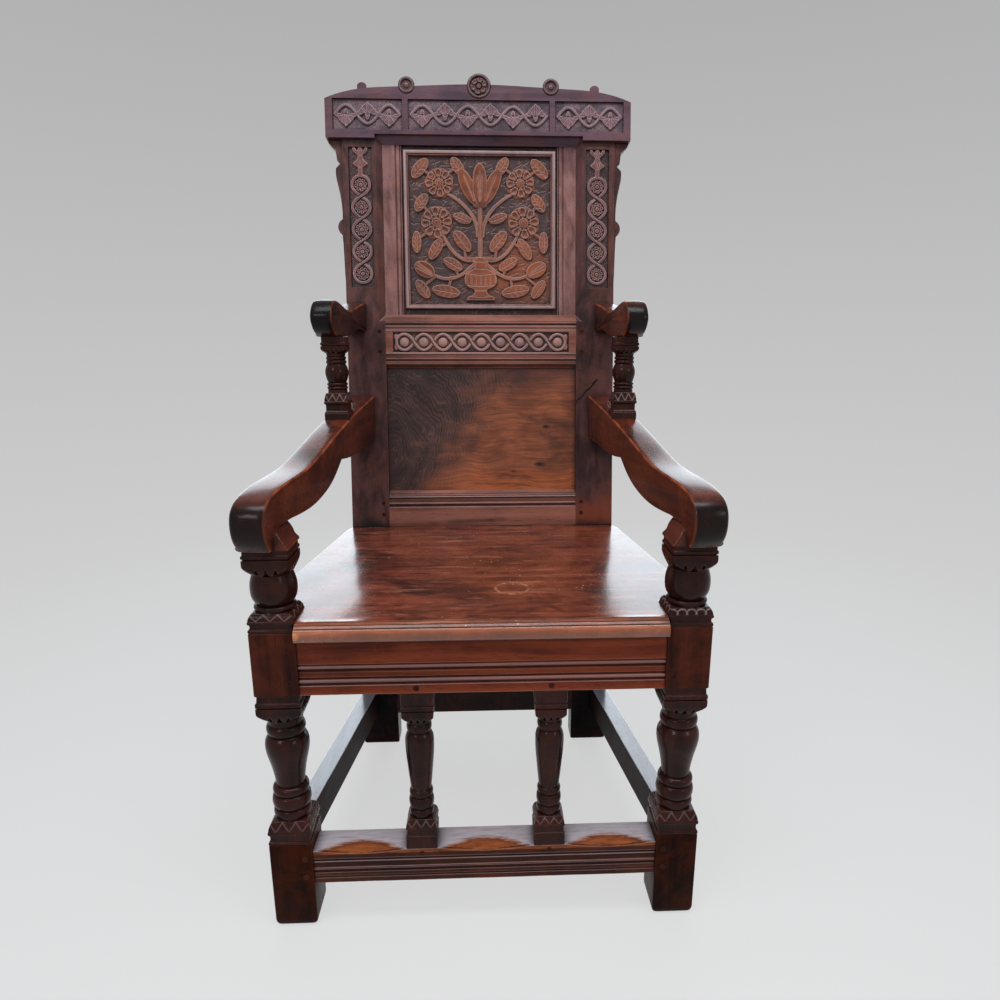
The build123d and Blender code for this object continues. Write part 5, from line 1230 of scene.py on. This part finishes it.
def punched(g, pitch, deep):
    """Ground matted with a pointed punch."""
    u, v = g.x / pitch, g.s / pitch
    u = u + 0.32 * np.sin(v * 2.1 + np.sin(u * 1.3)) + 0.5 * (np.floor(v) % 2)
    v = v + 0.28 * np.sin(u * 1.7 + 0.6)
    return deep * (0.5 + 0.5 * np.cos(2 * pi * u) * np.cos(2 * pi * v))


def gouged(g, count, seed, deep):
    """Shallow gouge strokes left in the ground."""
    dice = np.random.default_rng(seed)
    pushed = np.zeros_like(g.x)
    for _ in range(count):
        x, s = dice.uniform(g.xs[0], g.xs[-1]), dice.uniform(g.ss[0], g.ss[-1])
        tilt = dice.normal(0.5, 0.7)
        length, half = dice.uniform(5, 13), dice.uniform(0.9, 1.9)
        i0, i1 = np.searchsorted(g.ss, [s - length, s + length])
        j0, j1 = np.searchsorted(g.xs, [x - length, x + length])
        gx, gs = g.x[i0:i1, j0:j1] - x, g.s[i0:i1, j0:j1] - s
        u, v = gx * cos(tilt) + gs * sin(tilt), -gx * sin(tilt) + gs * cos(tilt)
        cup = np.clip(1 - (u / length) ** 2 - (v / half) ** 2, 0, 1)
        pushed[i0:i1, j0:j1] = np.maximum(pushed[i0:i1, j0:j1], deep * cup)
    return pushed


def bare_copy(node, fields, material, ease=0.8):
    """Copy of a joiner's piece without the plain ornament that stands in its sunk fields, where
    fields are (x0, x1, s0, s1, ground) with the ground's height out of the back's face."""
    mesh = NODES[node].data.copy()
    mesh.name = node
    count = len(mesh.vertices)
    co = np.zeros(count * 3)
    mesh.vertices.foreach_get("co", co)
    co = co.reshape(-1, 3) / MM
    y, z = co[:, 1] - BACK_Y, co[:, 2] - SEAT
    s = y * sin(RAKE) + z * cos(RAKE)
    d = -y * cos(RAKE) + z * sin(RAKE)
    inside, lifted = np.zeros(count, bool), np.zeros(count, bool)
    for x0, x1, s0, s1, ground in fields:
        here = (co[:, 0] > x0 + 0.1) & (co[:, 0] < x1 - 0.1) & (s > s0 + 0.1) & (s < s1 - 0.1) & (d > ground - 0.2)
        inside |= here
        lifted |= here & (d > ground + 0.1)
    work = bmesh.new()
    work.from_mesh(mesh)
    gone = [f for f in work.faces if all(inside[v.index] for v in f.verts) and any(lifted[v.index] for v in f.verts)]
    bmesh.ops.delete(work, geom=gone, context="FACES")
    bmesh.ops.remove_doubles(work, verts=work.verts, dist=0.00002)
    work.to_mesh(mesh)
    work.free()
    mesh.materials.clear()
    mesh.materials.append(material)
    piece = bpy.data.objects.new(node, mesh)
    bpy.context.scene.collection.objects.link(piece)
    flat = piece.modifiers.new("flat faces", "DECIMATE")
    flat.decimate_type = "DISSOLVE"
    flat.angle_limit = radians(1.5)
    ease_edges(piece, ease)
    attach(piece, "root")
    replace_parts(piece, node)
    return piece


# ---- stiles --------------------------------------------------------------------------------------
FIELD_OUT, FIELD_IN, FIELD_LOW, FIELD_HIGH = 241.95, 198.45, 452.4, 703.9
ring_places = [476.9 + 39.95 * k for k in range(5)]
# half widths of the finial over the chain, at depths below the top of the field
FINIAL_DEPTHS = (0, 2.5, 6, 10, 13, 16, 20, 24, 27.5, 29.5, 31.5, 34.5, 37, 54)
FINIAL_HALVES = (13.0, 14.0, 13.8, 10.5, 6.5, 4.6, 5.2, 7.5, 12.5, 14.2, 12.0, 7.0, 4.2, 3.7)


def stile_relief(name, sign):
    """Chain of five ringed flowers under a folded finial."""
    middle = sign * (FIELD_OUT + FIELD_IN) / 2
    g = Ground(middle - 21.7, middle + 21.7, FIELD_LOW + 0.05, FIELD_HIGH - 0.05, 0.7)
    g.raise_to(chain(g, ring_places, middle, 16.3, 7.4, 4.0, True, sign))
    for s in ring_places:
        g.raise_to(rosette(g, middle, s, 12.0, 8, 3.7, spin=0.2))
    off, depth = np.abs(g.x - middle), FIELD_HIGH - g.s
    half = np.interp(depth, FINIAL_DEPTHS, FINIAL_HALVES)
    inside = np.minimum(half - off, 53 - depth)
    inside = np.where(depth < 8, np.minimum(inside, np.abs(off - 6.0) * 1.3 + (depth - 6.5) * 0.8), inside)
    finial = flat_top(np.minimum(inside, depth - 1.0), 3.8, 1.2)
    for low, high, wide in ((4, 15, 1.1), (20, 36, 1.2)):
        fold = np.clip(1 - np.abs(off - 0.22 * (high - depth) - 0.4) / wide, 0, 1) * (depth > low) * (depth < high)
        finial = finial - 1.5 * fold * (finial > 1.5)
    g.raise_to(np.maximum(finial, 0))
    g.high = g.high + punched(g, 2.3, 0.35) * (g.high < 0.6)
    border = np.minimum(np.minimum(g.x - g.xs[0], g.xs[-1] - g.x), np.minimum(g.s - g.ss[0], g.ss[-1] - g.s))
    g.high = g.high * smoothstep(border / 0.8)
    return g.piece(name, -4.0, 4.0, stile_carving)


SHADED_BELOW = 0.476          # in metres
for side, sign in (("left", -1), ("right", 1)):
    x0, x1 = sorted((sign * FIELD_IN, sign * FIELD_OUT))
    piece = bare_copy("rear_stile_" + side, [(x0, x1, FIELD_LOW, FIELD_HIGH, -4.0)],
                      stile_oak if sign < 0 else cracked_oak)
    # faces below SHADED_BELOW take the oak painted dark as shade
    piece.data.materials.append(shaded_oak)
    for polygon in piece.data.polygons:
        polygon.material_index = int(max(piece.data.vertices[v].co.z for v in polygon.vertices) < SHADED_BELOW)
    stile_relief("stile_carving_" + side, sign)

# ---- mid rail ------------------------------------------------------------------------------------
BAND_LOW, BAND_HIGH, BAND_HALF = 332.7, 370.0, 167.0
boss_places = [36.4 * (k - 4) for k in range(9)]
mid_rail_section = [(302.7, -7.0), (304, -5.5), (309, -2.2), (310.2, -2.0), (310.4, -0.8), (315.8, -0.8),
                    (316.6, -1.8), (317.6, -2.4), (318.6, -1.6), (318.8, -0.6), (320, 0.3), (321.4, -0.5),
                    (322, -1.2), (327.4, -1.2), (328.6, -0.4), (329.6, 0.2), (331.0, 0.0), (332.4, -0.4)]
mid_rail_above = [(370.2, -0.4), (371.6, 0), (373.2, 0.2), (375.8, -0.4), (376.4, -1.4), (377.2, -1.2),
                  (380, -0.4), (382.6, -1.2), (383.2, -2.4), (384.6, -2.6), (385.2, -1.2), (385.6, -0.8),
                  (387.5, 0.5), (389.4, -0.6), (390.2, -1.2), (390.6, -0.2), (397.0, -4.0), (403.4, -8.0)]


def banded(x):
    """Mid rail's section, sunk for the carved band between its plain ends."""
    ground = -4.0 if abs(x) < BAND_HALF else -0.2
    return mid_rail_section + [(BAND_LOW, ground), (BAND_HIGH, ground)] + mid_rail_above


rail_stations = [-STILE_IN, -BAND_HALF - 0.02, -BAND_HALF + 0.02] + list(np.linspace(-150, 150, 31))
mid_rail = moulded_rail("mid_rail", None, STILE_IN, BACK_RAIL_THICK, on_back, back_rail_oak,
                        rail_stations + [BAND_HALF - 0.02, BAND_HALF + 0.02, STILE_IN], banded)
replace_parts(mid_rail, "mid_rail")
lower_rail_section = [(0, 0), (36.6, 0), (38.0, -0.8), (38.8, -2.6), (41.8, -2.8), (42.4, -1.4), (42.8, -0.6),
                      (44.4, 0.4), (46.2, -0.8), (46.8, -1.8), (53.2, -1.8), (54, -2.6), (55.2, -2.6),
                      (55.8, -1.0), (56.8, -0.2), (57.8, -0.6), (58.6, -1.4), (59.6, -1.6), (60.0, -0.6),
                      (64.0, -3.4), (69.7, -8.0)]
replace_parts(moulded_rail("lower_back_rail", lower_rail_section, STILE_IN, BACK_RAIL_THICK, on_back, back_rail_oak),
            "lower_back_rail")
g = Ground(-BAND_HALF + 0.05, BAND_HALF - 0.05, BAND_LOW + 0.05, BAND_HIGH - 0.05, 0.7)
band_mid = (BAND_LOW + BAND_HIGH) / 2
g.raise_to(chain(g, boss_places, band_mid, 14.8, 6.8, 4.0, False, 1))
for x in boss_places:
    dome = disc(g, x, band_mid, 9.4)
    g.raise_to(round_top(dome, 8.4, 4.2))
    for way in (-1, 1):
        hatch = np.abs(((g.x - x + way * (g.s - band_mid)) / 3.6) % 1.0 - 0.5) * 3.6
        g.cut(0.75 * np.clip(1 - hatch / 0.8, 0, 1) * (dome > 1.4))
for x in (-160.5, 160.5):
    for k in (-1, 1):
        g.raise_to(round_top(oval(g, x + 0.5 * np.sign(x), band_mid + 9.0 * k, 4.4, 6.6), 3.0, 3.2))
g.high = g.high + punched(g, 2.2, 0.3) * (g.high < 0.5)
g.piece("mid_rail_carving", -4.0, 4.0, band_carving)

# ---- crest ---------------------------------------------------------------------------------------
CREST_FACE = 8.0              # crest stands this far out of the back's face
fields = []
GROUND_LOW, GROUND_HIGH = 731.0, 785.0
for x0, x1 in ((-267.0, -140.005), (-130.005, 130.005), (140.005, 267.0)):
    fields.append((x0, x1, GROUND_LOW, GROUND_HIGH, CREST_FACE - 4.0))
bare_copy("crest_rail", fields, crest_oak, 1.0)


def leaf_scroll(g, centre, waves, pitch, middle):
    """Wavy stem with a lobed leaf curling into each bend."""
    line = []
    for k in np.linspace(-waves / 2, waves / 2, 16 * waves + 1):
        line.append((centre + k * pitch, middle + 16.0 * sin(pi * (k + waves / 2))))
    g.raise_to(pillow(stroke(g, line, 7.0), 3.2, 4.0))
    for k in range(waves):
        x = centre + pitch * (k - (waves - 1) / 2)
        up = 1 if k % 2 == 0 else -1
        s = middle - up * 6.0
        leaf = np.full_like(g.x, -9.0)
        for lean, reach, wide, long in ((0, 0, 5.4, 16.0), (-40, 10.5, 5.0, 12.5), (40, 10.5, 5.0, 12.5),
                                        (-76, 11.0, 4.2, 9.0), (76, 11.0, 4.2, 9.0)):
            drop = -3.0 * (lean != 0) + 6.0 * (abs(lean) > 60)
            leaf = np.maximum(leaf, oval(g, x + reach * sin(radians(lean)) * 1.1, s + up * drop, wide, long,
                                         -up * lean))
        g.raise_to(flat_top(leaf, 3.7, 1.3))
        for lean in (-74, -38, 0, 38, 74):
            long = 19 if abs(lean) < 60 else 15
            tip = (x + long * sin(radians(lean)), s + up * 7 - up * long * cos(radians(lean)))
            g.cut(1.6 * np.clip(stroke(g, [(x, s + up * 7), tip], 2.0), 0, 1.0) * (g.high > 2.0) * (g.high < 3.8))
        g.raise_to(pillow(disc(g, x, s + up * 10.5, 4.2), 3.6, 3.9))


for name, (x0, x1, s0, s1, ground), waves in zip(("left", "middle", "right"), fields, (3, 6, 3)):
    g = Ground(x0 + 0.05, x1 - 0.05, s0 + 0.05, s1 - 0.05, 0.65)
    leaf_scroll(g, (x0 + x1) / 2, waves, (x1 - x0) / (waves + 0.25), (s0 + s1) / 2)
    g.high = g.high + punched(g, 2.4, 0.55) * (g.high < 0.4)
    g.piece("crest_carving_" + name, ground, 4.0, crest_carving)


# ---- carved panel --------------------------------------------------------------------------------
PANEL_MID = 559.4
PANEL_SIDE = 145.15
PANEL_TALL = 4.5              # height of the relief
UNDER_DESIGN = 0.9            # wood left under it, in which the ground is gouged


def arc_through(a, b, c, count=22):
    """Points of a smooth bow from a through b to c."""
    made = []
    for t in np.linspace(0, 1, count):
        made.append(tuple((1 - t) * (1 - 2 * t) * np.array(a) + 4 * t * (1 - t) * np.array(b)
                          + t * (2 * t - 1) * np.array(c)))
    return made


def vase(f):
    """Ribbed vase on a moulded foot."""
    across = np.abs(f.x)
    outline = curve([(-129, 26), (-123, 25), (-117, 14), (-111, 12), (-104, 24), (-92, 31), (-80, 28), (-71, 15),
                     (-64, 11), (-58, 15), (-52, 25), (-49.5, 26)], 8)
    heights, halves = np.array([p[0] for p in outline]), np.array([p[1] for p in outline])
    half = np.interp(f.s, heights, halves)
    inside = np.minimum(half - across, np.minimum(f.s + 129, -49.5 - f.s))
    f.raise_to(flat_top(inside, PANEL_TALL, 1.4))
    for level in (-122, -110, -102, -81, -70, -57):
        f.cut(1.2 * np.clip(1 - np.abs(f.s - level - 0.004 * across ** 2) / 0.9, 0, 1) * (inside > 0.6))
    ribs = np.abs((across / 9.0) % 1.0 - 0.5) * 9.0
    f.cut(0.9 * np.clip(1 - (4.5 - ribs) / 0.9, 0, 1) * (inside > 1.0) * (f.s > -100) * (f.s < -83))


def stems(f):
    """Middle stem, three bowed stems on each side, and the stalks of the leaves."""
    central = [(0, -50), (0, 50)]
    f.raise_to(pillow(stroke(f, central, 11.0), 3.6, PANEL_TALL - 0.5))
    f.cut(0.8 * np.clip(stroke(f, central, 1.8), 0, 0.9))
    for sign in (-1, 1):
        for sweep in (((6, -52), (44, -46), (76, 4)), ((4, -10), (20, 34), (64, 68)),
                      ((8, -58), (54, -88), (98, -76))):
            line = arc_through(*[(sign * x, y) for x, y in sweep])
            f.raise_to(pillow(stroke(f, line, 10.0, 0.25), 3.4, PANEL_TALL - 0.6))
            f.cut(0.8 * np.clip(stroke(f, line, 1.8), 0, 0.9))
    for sign in (-1, 1):
        for (x0, s0), (x1, s1) in (((28, -49), (31, -32)), ((44, -79), (48, -70)), ((64, -24), (74, -30)),
                                   ((56, -86), (60, -103)), ((84, -84), (102, -98)), ((14, 20), (22, 20)),
                                   ((98, 32), (104, 42)), ((90, 98), (102, 106)), ((60, 102), (50, 110)),
                                   ((100, -4), (114, -14))):
            f.raise_to(flat_top(stroke(f, [(sign * x0, s0), (sign * x1, s1)], 5.0), PANEL_TALL - 1.0, 1.2))


# x, s, width, length and lean of the leaves on one side, before they are filled out
LEAVES = ((34, -20, 9, 21, 38), (52, -62, 8, 18, 60), (84, -34, 8, 20, -30), (66, -112, 9, 24, 80),
          (110, -108, 8, 18, 35), (34, 22, 7, 16, 70), (110, 50, 8, 17, -35), (112, 112, 9, 20, -40),
          (42, 116, 8, 17, 30), (120, -22, 7, 18, 0))


def veined_leaves(f):
    """Leaves with a cut spine and three pairs of veins."""
    for sign in (-1, 1):
        for x, y, wide, long, lean in LEAVES:
            wide, long = wide * 1.3, long * 1.12
            turn = -sign * lean
            f.raise_to(flat_top(oval(f, sign * x, y, wide, long, turn), PANEL_TALL - 0.5, 1.3))
            c, n = cos(radians(turn)), sin(radians(turn))
            spine = [(sign * x + n * long * end, y - c * long * end) for end in (0.85, -0.85)]
            f.cut(1.3 * np.clip(stroke(f, spine, 2.2), 0, 1.0))
            for share in (-0.5, -0.1, 0.3):
                root = (sign * x - n * long * share, y + c * long * share)
                for way in (-1, 1):
                    tip = (root[0] + way * c * wide * 0.8 - n * long * 0.28,
                           root[1] + way * n * wide * 0.8 + c * long * 0.28)
                    f.cut(0.7 * np.clip(stroke(f, [root, tip], 1.5), 0, 0.7) / 0.7)


def flowers(f):
    """Two round flowers, a bud and a tulip petal on each side, and the tulip's middle."""
    for sign in (-1, 1):
        for x, y, radius, petals in ((82, 14, 30, 8), (76, 86, 27, 8)):
            f.raise_to(flat_top(disc(f, sign * x, y, radius), PANEL_TALL * 0.42, 1.2))
            f.raise_to(rosette(f, sign * x, y, radius - 1.0, petals, PANEL_TALL, 0.3))
            f.raise_to(rosette(f, sign * x, y, radius * 0.52, petals, PANEL_TALL + 0.4, 0.3 + pi / petals))
        bud = oval(f, sign * 106, -72, 21, 14, sign * 30)
        f.raise_to(flat_top(bud, PANEL_TALL, 1.4))
        for off in (-5, 0, 5):
            line = [(sign * (92 + off * 0.2), -80 + off * 0.7), (sign * 121, -63 + off * 1.2)]
            f.cut(1.0 * np.clip(stroke(f, line, 1.8), 0, 0.9))
        f.raise_to(flat_top(oval(f, sign * 22, 79, 13, 36, -sign * 25), PANEL_TALL - 0.3, 1.4))
        f.cut(1.2 * np.clip(stroke(f, [(sign * 11, 54), (sign * 30, 100)], 2.0), 0, 1.0))
    f.raise_to(flat_top(oval(f, 0, 84, 14, 38), PANEL_TALL + 0.2, 1.4))
    for lean in (-4, 0, 4):
        f.cut(1.2 * np.clip(stroke(f, [(lean * 0.3, 54), (lean * 1.1, 108 - abs(lean) * 2)], 1.8), 0, 0.9))
    f.raise_to(round_top(oval(f, 0, 46, 14, 7), 6, PANEL_TALL))


def carve_panel():
    """Vase of flowers left standing on a gouged ground."""
    g = Ground(-PANEL_SIDE + 0.2, PANEL_SIDE - 0.2, 403.6, 710.8, 0.8)
    design = Relief(g.x, g.s - PANEL_MID)
    for carve in (vase, stems, veined_leaves, flowers):
        carve(design)
    g.high = np.where(design.high > 0.25, design.high + UNDER_DESIGN, UNDER_DESIGN - gouged(g, 1100, 11, 0.75))
    return g.piece("carved_panel", -14.9, PANEL_TALL + UNDER_DESIGN, carved_oak, back=11.1)


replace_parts(carve_panel(), "carved_panel")

# ---- moulding round the carved panel, and the muntins beside it ----------------------------------
FRAME_X, FRAME_LOW, FRAME_HIGH = 142.65, 413.8, 703.3


def panel_frame():
    """Mitred bead: fillet, round and quirk, 10 wide."""
    section = [(0.0, -14.5), (0.0, -8.2), (0.8, -7.4)]
    section += [(0.8 + 3.1 * (1 - cos(t)), -7.4 + 1.9 * sin(t)) for t in np.linspace(0.1, pi, 9)]
    section += [(7.2, -8.6), (7.8, -7.6), (8.8, -8.2), (9.6, -10.2), (10.0, -14.5)]
    points, faces, pale = [], [], []
    for inset, out in section:
        # the round and fillet are paled as old wax and painted highlight
        pale += [0.45 * (out > -6.4) + 0.2 * (out > -7.7)] * 4
        for x, s in ((-FRAME_X + inset, FRAME_LOW + inset), (FRAME_X - inset, FRAME_LOW + inset),
                     (FRAME_X - inset, FRAME_HIGH - inset), (-FRAME_X + inset, FRAME_HIGH - inset)):
            points.append(on_back(x, s, out))
    for row in range(len(section)):
        after = (row + 1) % len(section)
        for k in range(4):
            faces.append((row * 4 + k, row * 4 + (k + 1) % 4, after * 4 + (k + 1) % 4, after * 4 + k))
    return finish_piece("panel_moulding", points, faces, moulding_oak, {"edge": pale}, 50.0)


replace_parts(panel_frame(), "panel_moulding_top", "panel_moulding_bottom", "panel_moulding_left",
            "panel_moulding_right")


def muntin():
    """Flat upright with two reeds worked on its inner edge."""
    section = [(-STILE_IN, -30), (-STILE_IN, -8.5), (-157.6, -8.5), (-157.0, -10.6), (-155.8, -11.0)]
    section += [(-155.6 + 3.6 * (1 - cos(t)), -10.8 + 2.0 * sin(t)) for t in np.linspace(0, pi, 8)]
    section += [(-148.0, -11.6)]
    section += [(-147.8 + 1.3 * (1 - cos(t)), -11.2 + 1.0 * sin(t)) for t in np.linspace(0, pi, 6)]
    section += [(-PANEL_SIDE, -12.0), (-PANEL_SIDE, -30)]
    shape = Shape()
    shape.rings([[on_back(x, s, d) for x, d in eased(section, 0.4)] for s in (402.0, 712.0)])
    return shape.piece("muntin_left", moulding_oak)


muntin_left = muntin()
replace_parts(muntin_left, "muntin_left")
mirrored(muntin_left, "muntin_right", "muntin_right")


# ---- roundels and knobs on the crest -------------------------------------------------------------
def roundel(name, x, s, radius, petals):
    """Turned disc with a rim; a flower in the large one and a button in the small ones."""
    rings, spokes = int(radius * 2.2), 96
    angles = np.linspace(0, 2 * pi, spokes, endpoint=False)
    loops = []
    radii = list(np.linspace(0.4, radius - 0.3, rings))
    far, turn = np.meshgrid(radii, angles, indexing="ij")
    grid = Relief(far * np.cos(turn), far * np.sin(turn))
    high = 1.0 + round_top(2.6 - np.abs(far - (radius - 3.0)), 2.4, 3.4)
    if petals:
        high = np.maximum(high, 1.0 + rosette(grid, 0, 0, radius * 0.66, petals, 3.2, 0.2))
    else:
        high = np.maximum(high, 0.4 + round_top(radius * 0.38 - far, radius * 0.34, 3.6))
    high = np.where(far > radius - 0.7, high * 0.75, high)
    base = CREST_FACE - 2.2
    edge = []
    for row in range(rings):
        loops.append(on_back(x + grid.x[row], s + grid.s[row], base + high[row]))
        # high points are paled as old wax and painted highlight
        edge.append(np.clip((high[row] - 3.0) * 1.2, 0, 0.6))
    for out in (2.0, -16.0 - base):
        loops.append(on_back(x + radius * np.cos(angles), s + radius * np.sin(angles), base + out))
        edge.append(np.zeros(spokes))
    shape = Shape()
    shape.rings([list(loop) for loop in reversed(loops)], edge=[list(row) for row in reversed(edge)])
    piece = shape.piece(name, roundel_oak, 60.0)
    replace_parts(piece, name)


roundel("crest_roundel_centre", 0.0, 808.8, 22.0, 6)
for side, sign in (("left", -1), ("right", 1)):
    roundel("crest_roundel_" + side, sign * 132.005, 809.0, 15.0, 0)


# ---- pieces kept as the joiner made them ---------------------------------------------------------
for node, material, ease in (
        ("side_seat_rail_left", side_tops_painted_sheen, 1.2), ("side_seat_rail_right", side_tops_painted_sheen, 1.2),
        ("side_stretcher_left", side_tops_painted_sheen, 1.6), ("side_stretcher_right", side_tops_painted_sheen, 1.6),
        ("rear_seat_rail", rear_oak, 1.0), ("rear_stretcher", rear_oak, 1.2),
        ("lower_panel", panel_oak, 0.4), ("crest_knob_left", crest_oak, 1.2), ("crest_knob_right", crest_oak, 1.2),
        ("earpiece_left", stile_oak, 1.2), ("earpiece_right", stile_oak, 1.2),
        ("pegs_front_joints", peg_oak, 0.3), ("pegs_spindles", peg_oak, 0.3), ("pegs_back", peg_oak, 0.3),
        ("pegs_arms", peg_oak, 0.3)):
    piece = dressed(node, material, ease)
    # upward faces take the painted sky reflection, the rest the painted shade
    if node.startswith("side_"):
        piece.data.materials.append(side_faces_painted_shade)
        for polygon in piece.data.polygons:
            polygon.material_index = 0 if polygon.normal.z > 0.7 else 1

# ================================ room and light ==================================================
CAMERA_AT = Vector((0.0024, -1.1815, 0.8334))
YAW, PITCH, ROLL = radians(2.48), radians(14.52), radians(0.06)
LENS, SHIFT_X, SHIFT_Y = 25.715, -0.0143, 0.0194


def place_camera():
    """Camera in front of the chair, a little above its arms, looking slightly down."""
    ahead = Vector((sin(YAW) * cos(PITCH), cos(YAW) * cos(PITCH), -sin(PITCH)))
    right = ahead.cross(Vector((0, 0, 1))).normalized()
    up = right.cross(ahead)
    right, up = right * cos(ROLL) + up * sin(ROLL), up * cos(ROLL) - right * sin(ROLL)
    data = bpy.data.cameras.new("camera")
    data.sensor_width = 36.0
    data.lens, data.shift_x, data.shift_y = LENS, SHIFT_X, SHIFT_Y
    data.clip_start = 0.02
    view = bpy.data.objects.new("camera", data)
    bpy.context.scene.collection.objects.link(view)
    turn = Matrix((right, up, -ahead)).transposed().to_4x4()
    view.matrix_world = Matrix.Translation(CAMERA_AT) @ turn
    bpy.context.scene.camera = view


def softbox(name, at, aim, wide, tall, radiance, tint):
    """Large soft lamp with an even face."""
    data = bpy.data.lights.new(name, "AREA")
    data.shape = "RECTANGLE"
    data.size, data.size_y = wide, tall
    data.energy = radiance * wide * tall * pi
    data.color = tint
    lamp = bpy.data.objects.new(name, data)
    bpy.context.scene.collection.objects.link(lamp)
    lamp.location = at
    lamp.rotation_euler = (Vector(aim) - Vector(at)).to_track_quat("-Z", "Y").to_euler()
    lamp.visible_camera = False


def build_room():
    """Pale backdrop, even light, and a floor that keeps the chair's shadow."""
    world = bpy.data.worlds.new("studio")
    bpy.context.scene.world = world
    world.use_nodes = True
    n = Nodes(world.node_tree)
    for node in list(world.node_tree.nodes):
        world.node_tree.nodes.remove(node)
    parts = n.parts(n.add("TexCoord").outputs["Generated"])
    climb = n.math("DIVIDE", n.math("SUBTRACT", parts["Z"], -0.749), 1.116, clamp=True)
    backdrop = n.mix(climb, colour(226, 226, 226), colour(176, 176, 176))
    seen = n.add("Background")
    n.plug(backdrop, seen.inputs["Color"])
    lit = n.add("Background")
    n.plug(n.mix(n.span(parts["Z"], -0.5, 0.6), (0.16, 0.16, 0.16, 1), (0.52, 0.53, 0.55, 1)),
           lit.inputs["Color"])
    lit.inputs["Strength"].default_value = 1.0
    path = n.add("LightPath").outputs
    direct = n.math("MAXIMUM", path["Is Camera Ray"], n.math("MAXIMUM", path["Is Glossy Ray"],
                                                            path["Is Transmission Ray"]))
    blend = n.add("MixShader")
    n.plug(direct, blend.inputs[0])
    n.plug(lit.outputs[0], blend.inputs[1])
    n.plug(seen.outputs[0], blend.inputs[2])
    n.plug(blend.outputs[0], n.add("OutputWorld").inputs["Surface"])

    spokes, radius = 96, 2.6
    rings = [0.3, 0.8, 1.4, 2.0, radius]
    points = [(0.0, 0.0, 0.0)]
    faces = []
    for ring in rings:
        points += [(ring * cos(2 * pi * k / spokes), ring * sin(2 * pi * k / spokes), 0.0) for k in range(spokes)]
    for k in range(spokes):
        faces.append((0, 1 + k, 1 + (k + 1) % spokes))
        for row in range(len(rings) - 1):
            a, b = 1 + row * spokes, 1 + (row + 1) * spokes
            faces.append((a + k, b + k, b + (k + 1) % spokes, a + (k + 1) % spokes))
    paper = bpy.data.materials.new("pale floor")
    paper.use_nodes = True
    n = Nodes(paper.node_tree)
    shader = paper.node_tree.nodes["Principled BSDF"]
    here = n.add("TexCoord").outputs["Object"]
    grey = n.noise(here, 3.0, 2.0)
    n.plug(n.mix(grey, (0.74, 0.74, 0.74, 1), (0.78, 0.78, 0.78, 1)), shader.inputs["Base Color"])
    shader.inputs["Roughness"].default_value = 0.8
    shader.inputs["Specular IOR Level"].default_value = 0.1
    far = n.add("VectorMath", operation="LENGTH")
    n.plug(here, far.inputs[0])
    clear = n.add("BsdfTransparent")
    fade = n.add("MixShader")
    n.plug(n.span(far.outputs["Value"], 0.75, 2.3, 0.82, 1.0), fade.inputs[0])
    n.plug(shader.outputs[0], fade.inputs[1])
    n.plug(clear.outputs[0], fade.inputs[2])
    n.plug(fade.outputs[0], paper.node_tree.nodes["Material Output"].inputs["Surface"])
    floor = finish_piece("floor", np.array(points) * 1000.0, faces, paper, rides=False)
    floor.location.z = -0.0005


place_camera()
build_room()
for lamp in (("key lamp", (-1.6, -2.6, 2.2), (0, 0, 0.6), 0.7, 0.7, 8.4, (1.0, 0.98, 0.97)),
             ("fill lamp", (2.0, -2.0, 1.5), (0, 0, 0.6), 0.6, 0.6, 4.6, (1.0, 1.0, 1.0)),
             ("window above", (0.0, -0.9, 3.0), (0, -0.3, 0.5), 2.8, 0.7, 7.5, (0.93, 0.96, 1.0)),
             ("sky behind", (0.0, 3.0, 1.35), (0, 0, 1.35), 6.0, 2.4, 2.05, (0.80, 0.91, 1.0))):
    softbox(*lamp)

bpy.context.scene.view_settings.view_transform = "Standard"
